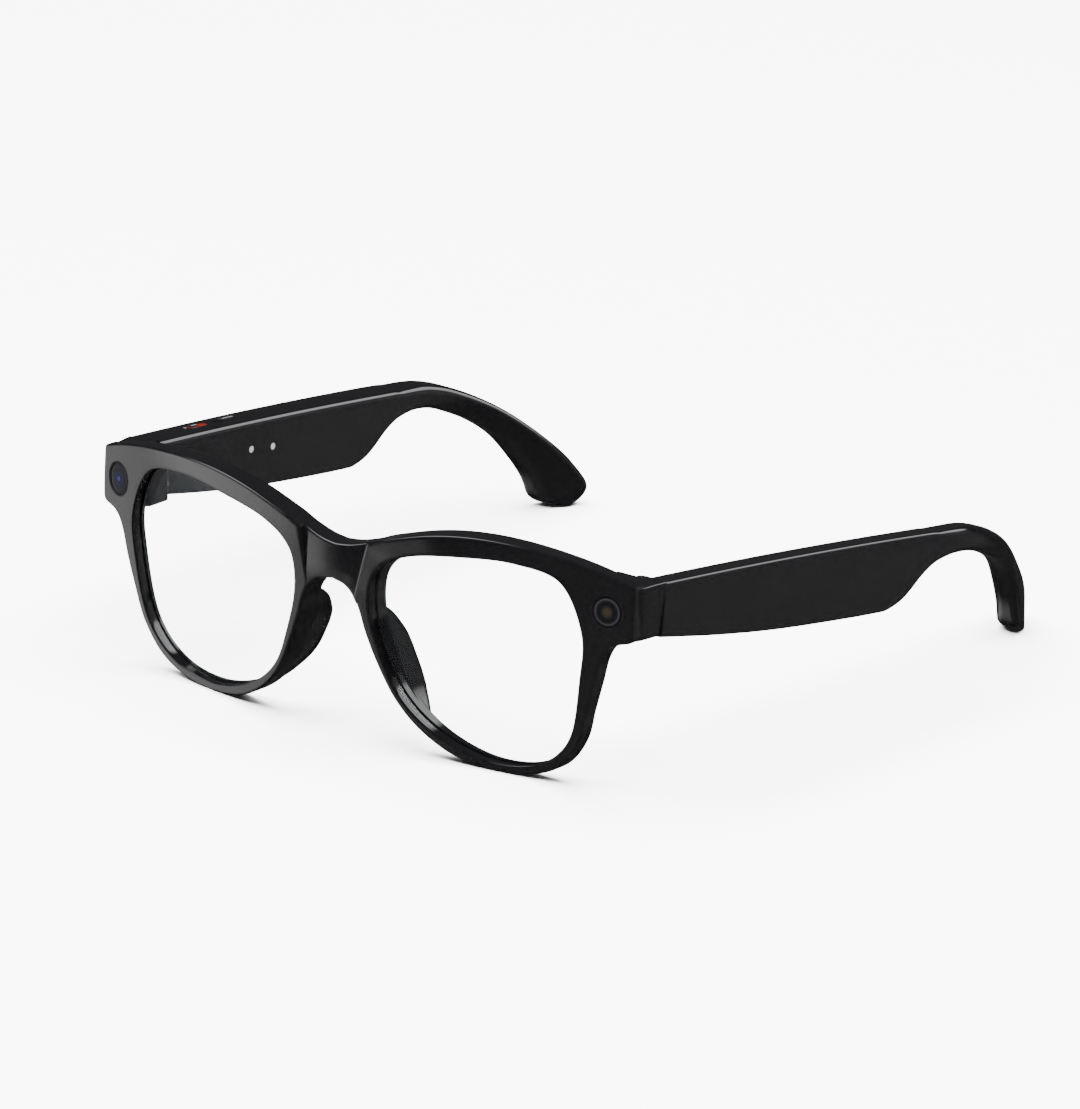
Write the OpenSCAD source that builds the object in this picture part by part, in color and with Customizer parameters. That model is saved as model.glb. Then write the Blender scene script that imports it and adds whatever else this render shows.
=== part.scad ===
// Camera glasses: a full-frame front with two clear lenses, a camera and a light in the endpieces,
// and two folding temples that hold the electronics. Millimetres, +Z up, the front faces -Y.
// The wearer's left is +X. The glasses stand on the rims and the hook tips at Z = 0.
// Sided modules are drawn for the wearer's left and mirrored for the right.

/* [Overall] */
// Depth from the foremost point of the rims to the rear of the ear hooks
overall_d = 152.4; // [151:0.2:154]
// Width of the front between its outer corners
front_w = 146; // [145:0.5:147]

/* [Front] */
// Radius of the front's wrap, seen from above
wrap_r = 262; // [258:1:266]
// Radius of the front's upright curve, seen from the side
upright_r = 140; // [135:1:145]
// Depth of the rims at the nose; their rear is flatter, so they thin towards the temples
rim_d = 6.2; // [6:0.1:6.4]
// How far the top of the bridge is set back from the rims
bridge_setback = 1.6; // [1:0.1:1.8]

/* [Lenses] */
// Thickness of a lens
lens_t = 1.6; // [1.4:0.1:1.7]
// How far a lens reaches into its groove
lens_bite = 0.8; // [0.7:0.05:0.85]
// Distance from the rim's face to the groove
groove_depth = 1.2; // [1.1:0.05:1.25]

/* [Camera and light] */
// Distance of each disc's centre from the middle
disc_x = 67.3; // [67.1:0.1:67.4]
// Height of each disc's centre
disc_z = 40.2; // [40:0.1:40.4]
// Outer diameter of a disc's bezel
bezel_d = 7.5; // [7.3:0.1:7.8]

/* [Temples] */
// Thickness of a temple
temple_t = 6.6; // [6.4:0.1:6.8]
// Angle by which each temple opens outwards
flare = 2.64; // [2.4:0.02:2.8]
// Angle by which a temple's top falls towards the ear
slope = 6.73; // [6.6:0.01:6.8]
// Angle by which each ear hook bends inwards
hook_bend = 28; // [27:0.5:29]
// Clearance between the endpiece and the closed temple
seam_gap = 0.15; // [0.1:0.05:0.2]

/* [Hinges] */
// Outer radius of the hinge barrel
barrel_r = 1.5; // [1.4:0.05:1.5]
// Radius of the hinge screw's shank
screw_r = 0.65; // [0.6:0.01:0.7]
// Radial clearance of the screw in the moving knuckles
screw_play = 0.05; // [0.04:0.01:0.08]

/* [Controls] */
// Travel of the power switch
switch_travel = 2; // [1.5:0.1:2]
// Travel of the capture button
button_travel = 0.4; // [0.3:0.05:0.4]

/* [Hidden] */
$fn = 96;

// Front: the wrap's foremost line, and the height about which the front curves
apex_y = -overall_d / 2 - 0.2;
curve_z = 31.5;
rear_wrap_r = 1.355 * wrap_r;
rear_upright_r = 1.47 * upright_r;
half_w = front_w / 2;
fit_gap = 0.05;
lens_centre = [36, 25];
// Lens opening about its centre, anticlockwise from the temple side
lens_points = [
    [25.2, 0], [25.6, 10], [20.5, 19.6], [10, 21.8], [-2, 21.1], [-16, 18.7], [-24, 14],
    [-25.7, 6], [-23.2, -3.5], [-18.5, -13], [-10, -19.6], [2, -23], [14, -21.3], [22, -14]
];
// Lower edge of one half: nose arch, rim, and the flare under the endpiece
lower_edge = [
    [0, 35], [4, 34], [7, 31], [9.2, 25], [12.1, 18.4], [16.1, 11.3], [21.7, 5.6], [29.5, 1.4], [38.5, 0],
    [47.5, 0.7], [55, 3.9], [60, 10.2], [62.4, 17.6], [64.4, 24], [66, 29.6], [68.2, 32.7], [half_w - 0.8, 34]
];
// Upper edge of one half: brow, from the endpiece's corner to the middle of the bridge
upper_edge = [
    [half_w, 46], [66, 48.1], [57, 49.8], [46, 50.85], [35, 50.7], [24.6, 49.2], [14, 46.3], [8.9, 44.4],
    [4, 43], [0, 42.5]
];

// Endpiece: its height, and the plane of its rear face on the inner side
endpiece_z = [33.9, 45.5];
endpiece_x = 61.9;
endpiece_rear_y = apex_y + 18.55;
cover_t = 0.95;

// Hinge: the pivot is the origin of the temple's own frame
pivot = [66.3, apex_y + 21.25];
hinge_z0 = 35.6;
knuckle_h = 1.56;
knuckle_gap = 0.1;
knuckles = 5;
hinge_h = knuckles * knuckle_h + (knuckles - 1) * knuckle_gap;
leaf_t = 0.85;
leaf_screw_z = [37.2, 42.2];
leaf_screw_x = 63.8;

// Temple, in its own frame: X from the pivot outwards, Y along the temple, Z up
inner_x = 1.5;
mid_x = inner_x + temple_t / 2;
outer_x = inner_x + temple_t;
front_s = -1.15;
seam_lean = 1.4;
wall_t = 1.3;
plate_t = 1;
cavity_end = 66;
top_z = 45.35;
fall = tan(slope);
top_bulge = 0.55;
top_len = 90;
// Rear of the hook from the straight top to the tip, then its front edge up to the cut-out
reach = overall_d / 2 - pivot.y;
hook_shift = reach - 131.35;
hook_rear = [
    [84, temple_top(84)], [89.4, 34.8], [93.9, 34.1], [98.4, 32.8], [102.5, 31.1], [107.7, 28.4],
    [112.7, 25.2], [117.6, 21.3], [122.4, 16.9], [126.5, 12.6], [129.2, 9], [131, 6], [131.5, 3.4],
    [130.2, 1.2], [127.2, 0.2], [124.6, 0.1], [122.8, 1.2], [121.5, 3.4]
];
hook_front = [
    [121.5, 3.4], [120, 7.5], [117.4, 12.1], [114, 17], [110.7, 20.2], [106.8, 22.9], [102.8, 25],
    [98.8, 26.8], [95, 28.2], [91.9, 28.9], [88.4, 29.3], [85.2, 29.2], [81.9, 28.6], [78.4, 27],
    [75.4, 25], [72.4, 23.3], [69.4, 22.4], [66.8, 22]
];
bottom_edge = [[66.8, 22], [55.8, 23.3], [34, 26.4], [15.5, 29.8], [front_s - seam_lean, 33.8]];
bend_start = 88.4 + hook_shift;
bend_r = 54.4;
// The hook's outer side rounds off over its last stretch towards the inner side
tip_from = 10;
tip_to = 21.5;
tip_side = 2.8;

// Controls and openings along the top of the right temple
light_s = 14.6;
switch_s = 18.7;
mic_s = 24.5;
button_s = 28.4;
slot_x = mid_x + 0.6;
hole_x = mid_x + 0.5;
body_dx = -0.7;
slot_w = 1.9;
switch_slot_len = 6.2;
slider_len = 3.2;
button_len = 5;
contact_at = [[32.3, 35.2], [39.6, 34]];
contact_r = 1;
speaker_s = 59;
mesh_s = 59.5;

// ---------- curves ----------

function catmull(a, b, c, d, t) =
    0.5 * (2 * b + (c - a) * t + (2 * a - 5 * b + 4 * c - d) * pow(t, 2)
        + (3 * b - a - 3 * c + d) * pow(t, 3));

// Smooth open curve through points
function curve(p, steps = 4) = [
    for (i = [0 : len(p) - 2])
        for (k = [0 : steps - 1])
            catmull(p[max(i - 1, 0)], p[i], p[i + 1], p[min(i + 2, len(p) - 1)], k / steps),
    p[len(p) - 1]
];

// Smooth closed curve through points
function closed_curve(p, steps = 5) = let (n = len(p)) [
    for (i = [0 : n - 1])
        for (k = [0 : steps - 1])
            catmull(p[(i + n - 1) % n], p[i], p[(i + 1) % n], p[(i + 2) % n], k / steps)
];

function unit(v) = v / norm(v);

// An anticlockwise closed outline moved outwards by d
function grow(p, d) = let (n = len(p)) [
    for (i = [0 : n - 1])
        let (t = unit(p[(i + 1) % n] - p[(i + n - 1) % n]))
            p[i] + d * [t.y, -t.x]
];

// A strip to the left of an open curve, between two distances
function strip(p, d0, d1) = let (
    last = len(p) - 1,
    side = [for (i = [0 : last]) let (t = unit(p[min(i + 1, last)] - p[max(i - 1, 0)])) [-t.y, t.x]]
) concat(
    [for (i = [0 : last]) p[i] + d0 * side[i]],
    [for (i = [last : -1 : 0]) p[i] + d1 * side[i]]
);

function mirrored(p) = [for (q = p) [-q.x, q.y]];
function reversed(p) = [for (i = [len(p) - 1 : -1 : 0]) p[i]];

// Y of the rim's face at a place on the front
function face_y(x, z) =
    apex_y + wrap_r - sqrt(pow(wrap_r, 2) - x * x) + pow(z - curve_z, 2) / (2 * upright_r);

// The seam between endpiece and temple leans forward towards its lower end
function seam_point(z) = [front_s - seam_lean * (temple_top(0) - z) / 12, z];

// Height and slope of the temple's slightly arched top at a distance behind the pivot
function temple_top(s) = top_z - s * fall + 4 * top_bulge * s * (top_len - s) / pow(top_len, 2);
function top_slope(s) = atan(fall - 4 * top_bulge * (top_len - 2 * s) / pow(top_len, 2));

// ---------- placing ----------

// Extrudes an X-Z outline from y0 to y1
module from_front(y0, y1) {
    translate([0, y1, 0]) rotate([90, 0, 0]) linear_extrude(y1 - y0) children();
}

// Extrudes a Y-Z outline from x0 to x1
module from_side(x0, x1) {
    translate([x0, 0, 0]) rotate([90, 0, 90]) linear_extrude(x1 - x0) children();
}

module box(low, high) {
    translate(low) cube(high - low);
}

module both_sides() {
    children();
    mirror([1, 0, 0]) children();
}

// The wearer's left is 1 and the right is -1
module on_side(side) {
    if (side > 0) children();
    else mirror([1, 0, 0]) children();
}

module temple_frame(side = 1) {
    on_side(side) translate([pivot.x, pivot.y, 0]) rotate([0, 0, -flare]) children();
}

// Origin on the disc's centre, +Z out of the front
module disc_frame(side = 1) {
    on_side(side)
        translate([disc_x, face_y(disc_x, disc_z), disc_z])
            rotate([0, 0, asin(disc_x / wrap_r)])
                rotate([90 - asin((disc_z - curve_z) / upright_r), 0, 0]) children();
}

// Origin on the top of the temple, Y along it, +Z out of it
module top_frame(s, x = slot_x) {
    translate([x, s, temple_top(s)]) rotate([-top_slope(s), 0, 0]) children();
}

// Stadium-shaped block lying along Y, from z0 to z1
module stadium(len, wide, z0, z1) {
    for (end = [-1, 1]) translate([0, end * (len - wide) / 2, z0]) cylinder(d = wide, h = z1 - z0);
    box([-wide / 2, -(len - wide) / 2, z0], [wide / 2, (len - wide) / 2, z1]);
}

// ---------- front ----------

lens_outline = [for (p = closed_curve(lens_points)) p + lens_centre];
half_outline = concat(curve(lower_edge), curve(upper_edge));
other_half = mirrored(reversed([for (i = [1 : len(half_outline) - 2]) half_outline[i]]));
front_outline = concat(half_outline, other_half);

// Everything behind a surface curved both ways, foremost at y0
module behind(y0, radius, upright) {
    translate([0, y0 + radius, 0]) rotate([0, 0, -110]) rotate_extrude(angle = 40)
        intersection() {
            translate([radius - upright, curve_z]) circle(upright);
            translate([radius - 28, -5]) square([30, 60]);
        }
}

// An X-Z outline given the front's curve, between two depths
module curved_plate(points, d0, d1) {
    intersection() {
        from_front(apex_y - 1, apex_y + 28) polygon(points);
        difference() {
            behind(apex_y + d0, wrap_r - d0, upright_r);
            behind(apex_y + d1, wrap_r - d1, upright_r);
        }
    }
}

// The whole front as a plate, thinner towards the temples
module front_plate() {
    intersection() {
        from_front(apex_y - 1, apex_y + 28) polygon(front_outline);
        difference() {
            behind(apex_y, wrap_r, upright_r);
            behind(apex_y + rim_d, rear_wrap_r, rear_upright_r);
        }
    }
}

// Solid block behind the corner of the front, cut to the temple's end face
module endpiece_block() {
    difference() {
        translate([0, 0, endpiece_z[0]]) linear_extrude(endpiece_z[1] - endpiece_z[0]) polygon([
            [endpiece_x, apex_y + 9.5], [endpiece_x, endpiece_rear_y], [68.3, endpiece_rear_y],
            [68.3, pivot.y + 1], [pivot.x + outer_x, pivot.y + 1], [half_w, apex_y + 11.2],
            [66, apex_y + 10.2]
        ]);
        temple_frame() translate([0, -seam_gap, 0]) from_side(-5, 12)
            polygon([seam_point(50), [12, 50], [12, 30], seam_point(30)]);
    }
}

// Rear edge of the nose boss and outline of its soft pad, seen from the side: depth behind pad_y, and height
pad_y = apex_y + 5;
boss_edge = [
    [-2, 29.6], [1.5, 29.2], [3.6, 28], [5.3, 26.3], [7.3, 23], [7.9, 20.5], [8, 17.5], [7.9, 14.8],
    [7.4, 12.5], [6.5, 10.8], [4.8, 8.4], [1.8, 5.8], [-2, 4.4]
];
pad_points = [
    [2, 11.2], [3.8, 11.4], [5.4, 13], [6.4, 16], [6.4, 19.2], [5.4, 21.6], [3.8, 22.8], [2, 22.6]
];
boss_t = 2.6;
boss_taper = 11;
pad_splay = -1.5;
pad_sink = 0.5;
ribs = 4;

// A strip along the rim's nose edge, leaning outwards to the rear
module nose_strip(d0, d1, lean = pad_splay) {
    edge = [for (i = [1 : 8]) lower_edge[i]];
    translate([8, pad_y - 4, 0]) rotate([0, 0, -lean]) translate([-8, 0, 0])
        from_front(0, 13) polygon(strip(curve(edge), d0, d1));
}

module nose_boss() {
    intersection() {
        nose_strip(0, 6);
        nose_strip(-6, boss_t, -boss_taper);
        translate([0, pad_y, 0]) from_side(0, 40) polygon(curve(boss_edge));
    }
}

// The pad's outline grown by some margin, as far into the boss as d1
module nose_insert(margin, d0, d1) {
    intersection() {
        nose_strip(d0, d1);
        translate([0, pad_y, 0]) from_side(0, 40) polygon(grow(closed_curve(pad_points, 4), margin));
    }
}

module bridge_relief() {
    translate([0, apex_y, 32]) rotate([-atan(bridge_setback / 11), 0, 0])
        from_front(-3, 0) polygon([[-9.4, 20], [-9.2, 12], [-5.8, 0], [5.8, 0], [9.2, 12], [9.4, 20]]);
}

// Path of the flat cable along the brow, down into both discs' bores
cable_depth = 3;
half_path = curve([
    [66.4, 42.6], [66.2, 46.2], [60, 47.8], [46, 49.1], [30, 48.3], [16, 45.3], [8, 42.3], [0, 41]
], 3);
other_path = mirrored(reversed([for (i = [0 : len(half_path) - 2]) half_path[i]]));
brow_path = concat(half_path, other_path);

module brow_channel(width, d0, d1) {
    curved_plate(strip(brow_path, -width / 2, width / 2), d0, d1);
}

module front_frame() color("#151517")
    difference() {
        union() {
            front_plate();
            both_sides() {
                endpiece_block();
                nose_boss();
            }
        }
        bridge_relief();
        both_sides() {
            curved_plate(lens_outline, -1, rim_d + 1);
            nose_insert(fit_gap, -1, pad_sink + fit_gap);
            curved_plate(grow(lens_outline, lens_bite + fit_gap),
                groove_depth, groove_depth + lens_t + 2 * fit_gap);
            disc_frame() {
                translate([0, 0, -1.2]) cylinder(d = bezel_d + 2 * fit_gap, h = 3);
                translate([0, 0, -5.2]) cylinder(r = 3.3, h = 6);
            }
            box([65.2, apex_y + 13.8, 37], [67.6, endpiece_rear_y, 43]);
            box([62.3, endpiece_rear_y - cover_t - fit_gap, 34.9], [68.1, endpiece_rear_y + 1, 44.7]);
            for (z = leaf_screw_z)
                translate([leaf_screw_x, endpiece_rear_y, z]) rotate([90, 0, 0]) cylinder(r = 0.6, h = 2.9);
        }
        brow_channel(2, cable_depth, rim_d + 1);
    }

module brow_cable() color("#b5651d")
    brow_channel(1.6, cable_depth + 0.05, cable_depth + 0.3);

module brow_cover() color("#151517")
    difference() {
        intersection() {
            front_plate();
            brow_channel(1.9, cable_depth + 0.4, rim_d + 1);
        }
        both_sides() box([63, apex_y, 30], [75, apex_y + 30, 45.6]);
    }

module lens(side) color("#e8eef2", 0.35)
    on_side(side)
        curved_plate(grow(lens_outline, lens_bite), groove_depth + fit_gap, groove_depth + fit_gap + lens_t);

// Soft pad with long ribs, set into the nose boss
module nose_pad(side) color("#0c0c0e")
    on_side(side) difference() {
        nose_insert(0, -0.12, pad_sink);
        for (k = [0 : ribs - 1])
            intersection() {
                nose_strip(-1, 0.25);
                translate([0, pad_y + 2.1 + 1.1 * k, 0]) cube([40, 0.4, 40]);
            }
    }

module bezel(side) color("#1d1d20")
    disc_frame(side) difference() {
        translate([0, 0, -1.15]) cylinder(d = bezel_d, h = 1.15);
        translate([0, 0, -2]) cylinder(r = 3.1, h = 4);
    }

module window(side) color("#101428", 0.6)
    disc_frame(side) translate([0, 0, -0.95]) cylinder(r = 3.05, h = 0.8);

module camera_module() color("#202024")
    disc_frame(-1) difference() {
        union() {
            translate([0, 0, -3.2]) cylinder(r = 2.4, h = 2);
            box([-2.3, -2.3, -5.1], [2.3, 2.3, -3.1]);
        }
        translate([0, 0, -1.6]) cylinder(r1 = 0.9, r2 = 1.7, h = 1);
    }

module light_board() color("#2f5d3a")
    disc_frame(1) {
        box([-2.3, -2.3, -5], [2.3, 2.3, -4.2]);
        translate([0, 0, -4.25]) cylinder(r = 2, h = 2.6);
    }

module endpiece_cover(side) color("#151517")
    on_side(side) difference() {
        box([62.35, endpiece_rear_y - cover_t, 34.95], [68.05, endpiece_rear_y, 44.65]);
        for (z = leaf_screw_z)
            translate([leaf_screw_x, endpiece_rear_y + 1, z]) rotate([90, 0, 0]) cylinder(r = 0.65, h = 3);
    }

// ---------- hinges ----------

module knuckle(i) {
    translate([0, 0, hinge_z0 + i * (knuckle_h + knuckle_gap)]) cylinder(r = barrel_r, h = knuckle_h);
}

module hinge_bore(r) {
    translate([0, 0, hinge_z0 - 1]) cylinder(r = r, h = hinge_h + 2);
}

// The knuckles' Z range, for the arm that joins knuckle i to its leaf
function knuckle_z(i) = hinge_z0 + i * (knuckle_h + knuckle_gap);

module hinge_front(side) color("silver")
    on_side(side) difference() {
        union() {
            box([62.6, endpiece_rear_y + 0.02, 35.6], [67.4, endpiece_rear_y + leaf_t, hinge_z0 + hinge_h]);
            for (i = [0 : 2 : knuckles - 1]) {
                translate([pivot.x, pivot.y, 0]) knuckle(i);
                box([pivot.x - barrel_r, endpiece_rear_y + 0.5, knuckle_z(i)],
                    [pivot.x + 1, pivot.y, knuckle_z(i) + knuckle_h]);
            }
        }
        translate([pivot.x, pivot.y, 0]) hinge_bore(screw_r + screw_play);
        for (z = leaf_screw_z)
            translate([leaf_screw_x, endpiece_rear_y + 2, z]) rotate([90, 0, 0]) cylinder(r = 0.65, h = 3);
    }

module hinge_screw(side) color("silver")
    on_side(side) translate([pivot.x, pivot.y, 0]) difference() {
        union() {
            translate([0, 0, hinge_z0]) cylinder(r = screw_r, h = hinge_h + 0.1);
            translate([0, 0, hinge_z0 + hinge_h + 0.03]) cylinder(r = 1.25, h = 0.6);
        }
        box([-0.15, -2, hinge_z0 + hinge_h + 0.35], [0.15, 2, hinge_z0 + hinge_h + 2]);
    }

module hinge_leaf_screws() color("silver")
    both_sides() for (z = leaf_screw_z) {
        translate([leaf_screw_x, endpiece_rear_y + leaf_t + 0.02, z]) rotate([90, 0, 0])
            cylinder(r = 0.55, h = 3.3);
        translate([leaf_screw_x, endpiece_rear_y + leaf_t + 0.45, z]) rotate([90, 0, 0])
            cylinder(r = 1, h = 0.43);
    }

module hinge_temple(side) color("silver")
    temple_frame(side) difference() {
        union() {
            box([inner_x + plate_t + 0.1, 0.35, 36.2], [inner_x + plate_t + 0.9, 10, 42.4]);
            for (i = [1 : 2 : knuckles - 1]) {
                knuckle(i);
                box([0, 0.35, knuckle_z(i)], [inner_x + plate_t + 0.5, barrel_r, knuckle_z(i) + knuckle_h]);
            }
        }
        hinge_bore(screw_r + screw_play);
    }

// ---------- temples ----------

temple_profile = concat(
    [for (k = [0 : 11]) let (s = front_s + 7 * k) [s, temple_top(s)]],
    [for (p = concat(curve(hook_rear, 3), curve(hook_front, 3))) p + [hook_shift, 0]], bottom_edge
);

// Plan of the temple: straight, then bent inwards round an arc to the hook's tip
function plan_point(a, side) =
    [mid_x - bend_r * (1 - cos(a)) + side * cos(a), bend_start + (bend_r + side) * sin(a)];
function plan_tip(run, side) = plan_point(hook_bend, side) + run * [-sin(hook_bend), cos(hook_bend)];
half_t = temple_t / 2;
tip_w = half_t - 0.2 + tip_side;
temple_plan = concat(
    [[mid_x + half_t, front_s]],
    [for (a = [0 : 2 : hook_bend]) plan_point(a, half_t)],
    [for (a = [0 : 10 : 90]) plan_tip(tip_from + (tip_to - tip_from) * sin(a), tip_w * cos(a) - tip_side)],
    [for (a = [hook_bend : -2 : 0]) plan_point(a, -half_t)],
    [[mid_x - half_t, front_s]]
);

// Room for the electronics, inset from the temple's edges and shortened by gap at both ends
function cavity_profile(inset, gap = 0) = let (f = front_s + wall_t + gap, e = cavity_end - gap) concat(
    [for (k = [0 : 8]) let (s = f + (e - f) * k / 8) [s, temple_top(s) - inset]],
    [[e, 22.1 + inset], [55.8, 23.3 + inset], [34, 26.4 + inset], [15.5, 29.8 + inset], [f, 33.2 + inset]]
);

module hinge_notch() {
    box([-1, front_s - 2, hinge_z0 - 0.4], [inner_x + plate_t + 0.02, 2.3, hinge_z0 + hinge_h + 1]);
}

module temple_body() {
    difference() {
        intersection() {
            from_side(-30, outer_x + 1) polygon(temple_profile);
            linear_extrude(60) polygon(temple_plan);
        }
        from_side(inner_x + plate_t, outer_x - 1.2) polygon(cavity_profile(1.4));
        from_side(inner_x - 1, inner_x + plate_t + 0.01) polygon(cavity_profile(0.8));
        hinge_notch();
        bottom_port();
    }
    box([inner_x + plate_t + 1, 2.2, 38], [outer_x - 1.2, 8.6, 41.6]);
}

module at_bottom() {
    translate([mid_x, mesh_s, 22.85]) rotate([-slope, 0, 0]) children();
}

module bottom_port() {
    at_bottom() stadium(8, 1.6, -1, 2.4);
}

module temple_cover(side) color("#151517")
    temple_frame(side) difference() {
        from_side(inner_x, inner_x + plate_t - 0.04) polygon(cavity_profile(0.8 + fit_gap, fit_gap));
        hinge_notch();
        if (side < 0) contacts(contact_r + 0.08);
    }

module contacts(r) {
    for (c = contact_at)
        translate([inner_x - 0.1, c[0], c[1]]) rotate([0, 90, 0]) cylinder(r = r, h = plate_t + 0.4);
}

module temple_left_shell() color("#151517")
    temple_frame(1) temple_body();

module temple_right_shell() color("#151517")
    temple_frame(-1) difference() {
        temple_body();
        top_frame(switch_s) {
            stadium(switch_slot_len, slot_w, -0.7, 1);
            box([-0.5, -1.9, -3], [0.5, 1.9, 0]);
        }
        top_frame(button_s) stadium(button_len + 0.3, slot_w, -3, 1);
        top_frame(light_s, hole_x) translate([0, 0, -3]) cylinder(r = 0.45, h = 4);
        top_frame(mic_s, hole_x) translate([0, 0, -3]) cylinder(r = 0.4, h = 4);
    }

// ---------- inside the temples ----------

// Thin block lying along the temple, from s0 to s1, centred in its height
module lying(x0, x1, s0, s1, high) {
    mid_s = (s0 + s1) / 2;
    translate([0, mid_s, 36.3 - (mid_s - 13) * 0.118]) rotate([-slope, 0, 0])
        box([x0, -(s1 - s0) / 2, -high / 2], [x1, (s1 - s0) / 2, high / 2]);
}

module battery() color("#8d9499")
    temple_frame(1) lying(2.8, 6, 13, 46, 8.8);

module touch_board() color("#2f5d3a")
    temple_frame(1) lying(5.4, 6.2, 47.5, 51.5, 8);

module main_board() color("#2f5d3a")
    temple_frame(-1) {
        lying(3.02, 3.9, 12, 50, 7.4);
        for (chip = [[15, 5], [22, 6], [37, 7], [45.5, 4]])
            lying(3.88, 4.9, chip[0], chip[0] + chip[1], 5);
    }

module touch_pad() color("#b5651d")
    temple_frame(-1) lying(5.9, 6.2, 13, 48, 7);

module speaker(side) color("#303236")
    temple_frame(side) lying(2.8, 6, speaker_s - 6.3, speaker_s + 6.3, 8);

module speaker_mesh(side) color("#55585c")
    temple_frame(side) at_bottom() stadium(7.9, 1.5, 0.4, 0.9);

module charge_contacts() color("#d8d8d8")
    temple_frame(-1) contacts(contact_r);

module status_light() color("#f2f2f2")
    temple_frame(-1) top_frame(light_s, hole_x) {
        translate([0, 0, -1.8]) cylinder(r = 0.4, h = 1.75);
        box([-0.8, -0.8, -2.6], [0.8, 0.8, -1.7]);
    }

module microphone() color("#c0b070")
    temple_frame(-1) top_frame(mic_s, hole_x) box([-1, -1.3, -2.7], [1, 0.9, -1.65]);

module tact_switch() color("#303236")
    temple_frame(-1) top_frame(button_s) {
        box([body_dx - 1.2, -1.8, -3.2], [body_dx + 1.2, 1.8, -2.3]);
        translate([0, 0, -2.4]) cylinder(r = 0.45, h = 0.6);
    }

module slide_switch() color("#303236")
    temple_frame(-1) top_frame(switch_s) box([body_dx - 1.2, -3, -3.2], [body_dx + 1.2, 3, -1.65]);

module switch_inlay() color("#a82418")
    temple_frame(-1) top_frame(switch_s) difference() {
        stadium(switch_slot_len - 0.1, slot_w - 0.1, -0.68, -0.45);
        box([-0.5, -1.9, -3], [0.5, 1.9, 0]);
    }

// Drawn at its front stop
module power_switch() color("#1d1d20")
    temple_frame(-1) top_frame(switch_s) translate([0, -switch_travel / 2, 0]) {
        stadium(slider_len, slot_w - 0.3, -0.4, 0.1);
        box([-0.4, -0.6, -1.45], [0.4, 0.6, -0.35]);
    }

module capture_button() color("#1d1d20")
    temple_frame(-1) top_frame(button_s) stadium(button_len, slot_w - 0.3, -1.35, 0.1);

front_frame();
brow_cover();
brow_cable();
lens(1);  // lens_left
lens(-1);  // lens_right
nose_pad(1);  // nose_pad_left
nose_pad(-1);  // nose_pad_right
bezel(-1);  // camera_bezel
window(-1);  // camera_window
camera_module();
bezel(1);  // light_bezel
window(1);  // light_window
light_board();
endpiece_cover(1);  // endpiece_cover_left
endpiece_cover(-1);  // endpiece_cover_right
hinge_front(1);  // hinge_front_left
hinge_front(-1);  // hinge_front_right
hinge_screw(1);  // hinge_screw_left
hinge_screw(-1);  // hinge_screw_right
hinge_leaf_screws();
temple_left_shell();
temple_cover(1);  // temple_left_cover
hinge_temple(1);  // hinge_temple_left
battery();
touch_board();
speaker(1);  // speaker_left
speaker_mesh(1);  // speaker_mesh_left
temple_right_shell();
temple_cover(-1);  // temple_right_cover
hinge_temple(-1);  // hinge_temple_right
main_board();
touch_pad();
speaker(-1);  // speaker_right
speaker_mesh(-1);  // speaker_mesh_right
charge_contacts();
status_light();
microphone();
tact_switch();
slide_switch();
switch_inlay();
power_switch();
capture_button();
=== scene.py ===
"""Camera glasses: gloss black front and temples, clear lenses, soft studio light.

Lengths inside the helper functions are millimetres in the CAD's frame; mesh_object turns them to metres.
"""

import math

import bmesh
import bpy
import numpy as np
from mathutils import Matrix, Vector


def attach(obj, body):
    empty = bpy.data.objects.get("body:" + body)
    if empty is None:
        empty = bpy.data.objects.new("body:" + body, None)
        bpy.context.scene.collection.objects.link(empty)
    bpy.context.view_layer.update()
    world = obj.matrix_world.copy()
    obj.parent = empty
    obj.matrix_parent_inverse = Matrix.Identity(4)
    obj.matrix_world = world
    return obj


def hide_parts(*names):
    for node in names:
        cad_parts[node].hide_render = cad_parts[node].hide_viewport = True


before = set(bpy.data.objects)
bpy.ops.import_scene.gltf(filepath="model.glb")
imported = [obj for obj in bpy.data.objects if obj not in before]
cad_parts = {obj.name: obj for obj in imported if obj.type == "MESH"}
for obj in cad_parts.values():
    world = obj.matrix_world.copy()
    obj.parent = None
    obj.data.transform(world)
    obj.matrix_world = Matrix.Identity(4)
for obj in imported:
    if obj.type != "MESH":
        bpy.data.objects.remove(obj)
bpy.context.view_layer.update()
MM = 0.001
# Edges sharper than this angle stay crisp
CORNER = math.radians(38)

# Driving dimensions, the same as the CAD's
# Front: most forward place, radii of the face in plan and in side view, height where it stands most forward
APEX_Y = -76.4
WRAP_R, UPRIGHT_R, CURVE_Z = 262.0, 140.0, 31.5
# Rear of the rims: its radii in plan and in side view, and the rims' depth at the most forward place
REAR_WRAP_R, REAR_UPRIGHT_R = 355.0, 205.8
RIM_D = 6.2
LENS_CENTRE = np.array([36.0, 25.0])
# Camera and light discs: their place on the face and the radius that their glass's rings count from
DISC_X, DISC_Z = 67.3, 40.2
DISC_R = 3.6
# Temple: hinge pivot (x, y), outward slant in plan, slope of the top, inner and outer face, front end
PIVOT = np.array([66.3, -55.15])
FLARE = math.radians(2.64)
FALL = math.tan(math.radians(6.73))
INNER_X, OUTER_X = 1.5, 8.1
MID_X = (INNER_X + OUTER_X) / 2
FRONT_S = -1.15
# Controls on the right temple's top: distance along it, and across it
SWITCH_S, BUTTON_S, LIGHT_S, MIC_S = 18.7, 28.4, 14.6, 24.5
SLOT_X, HOLE_X = MID_X + 0.6, MID_X + 0.5

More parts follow.
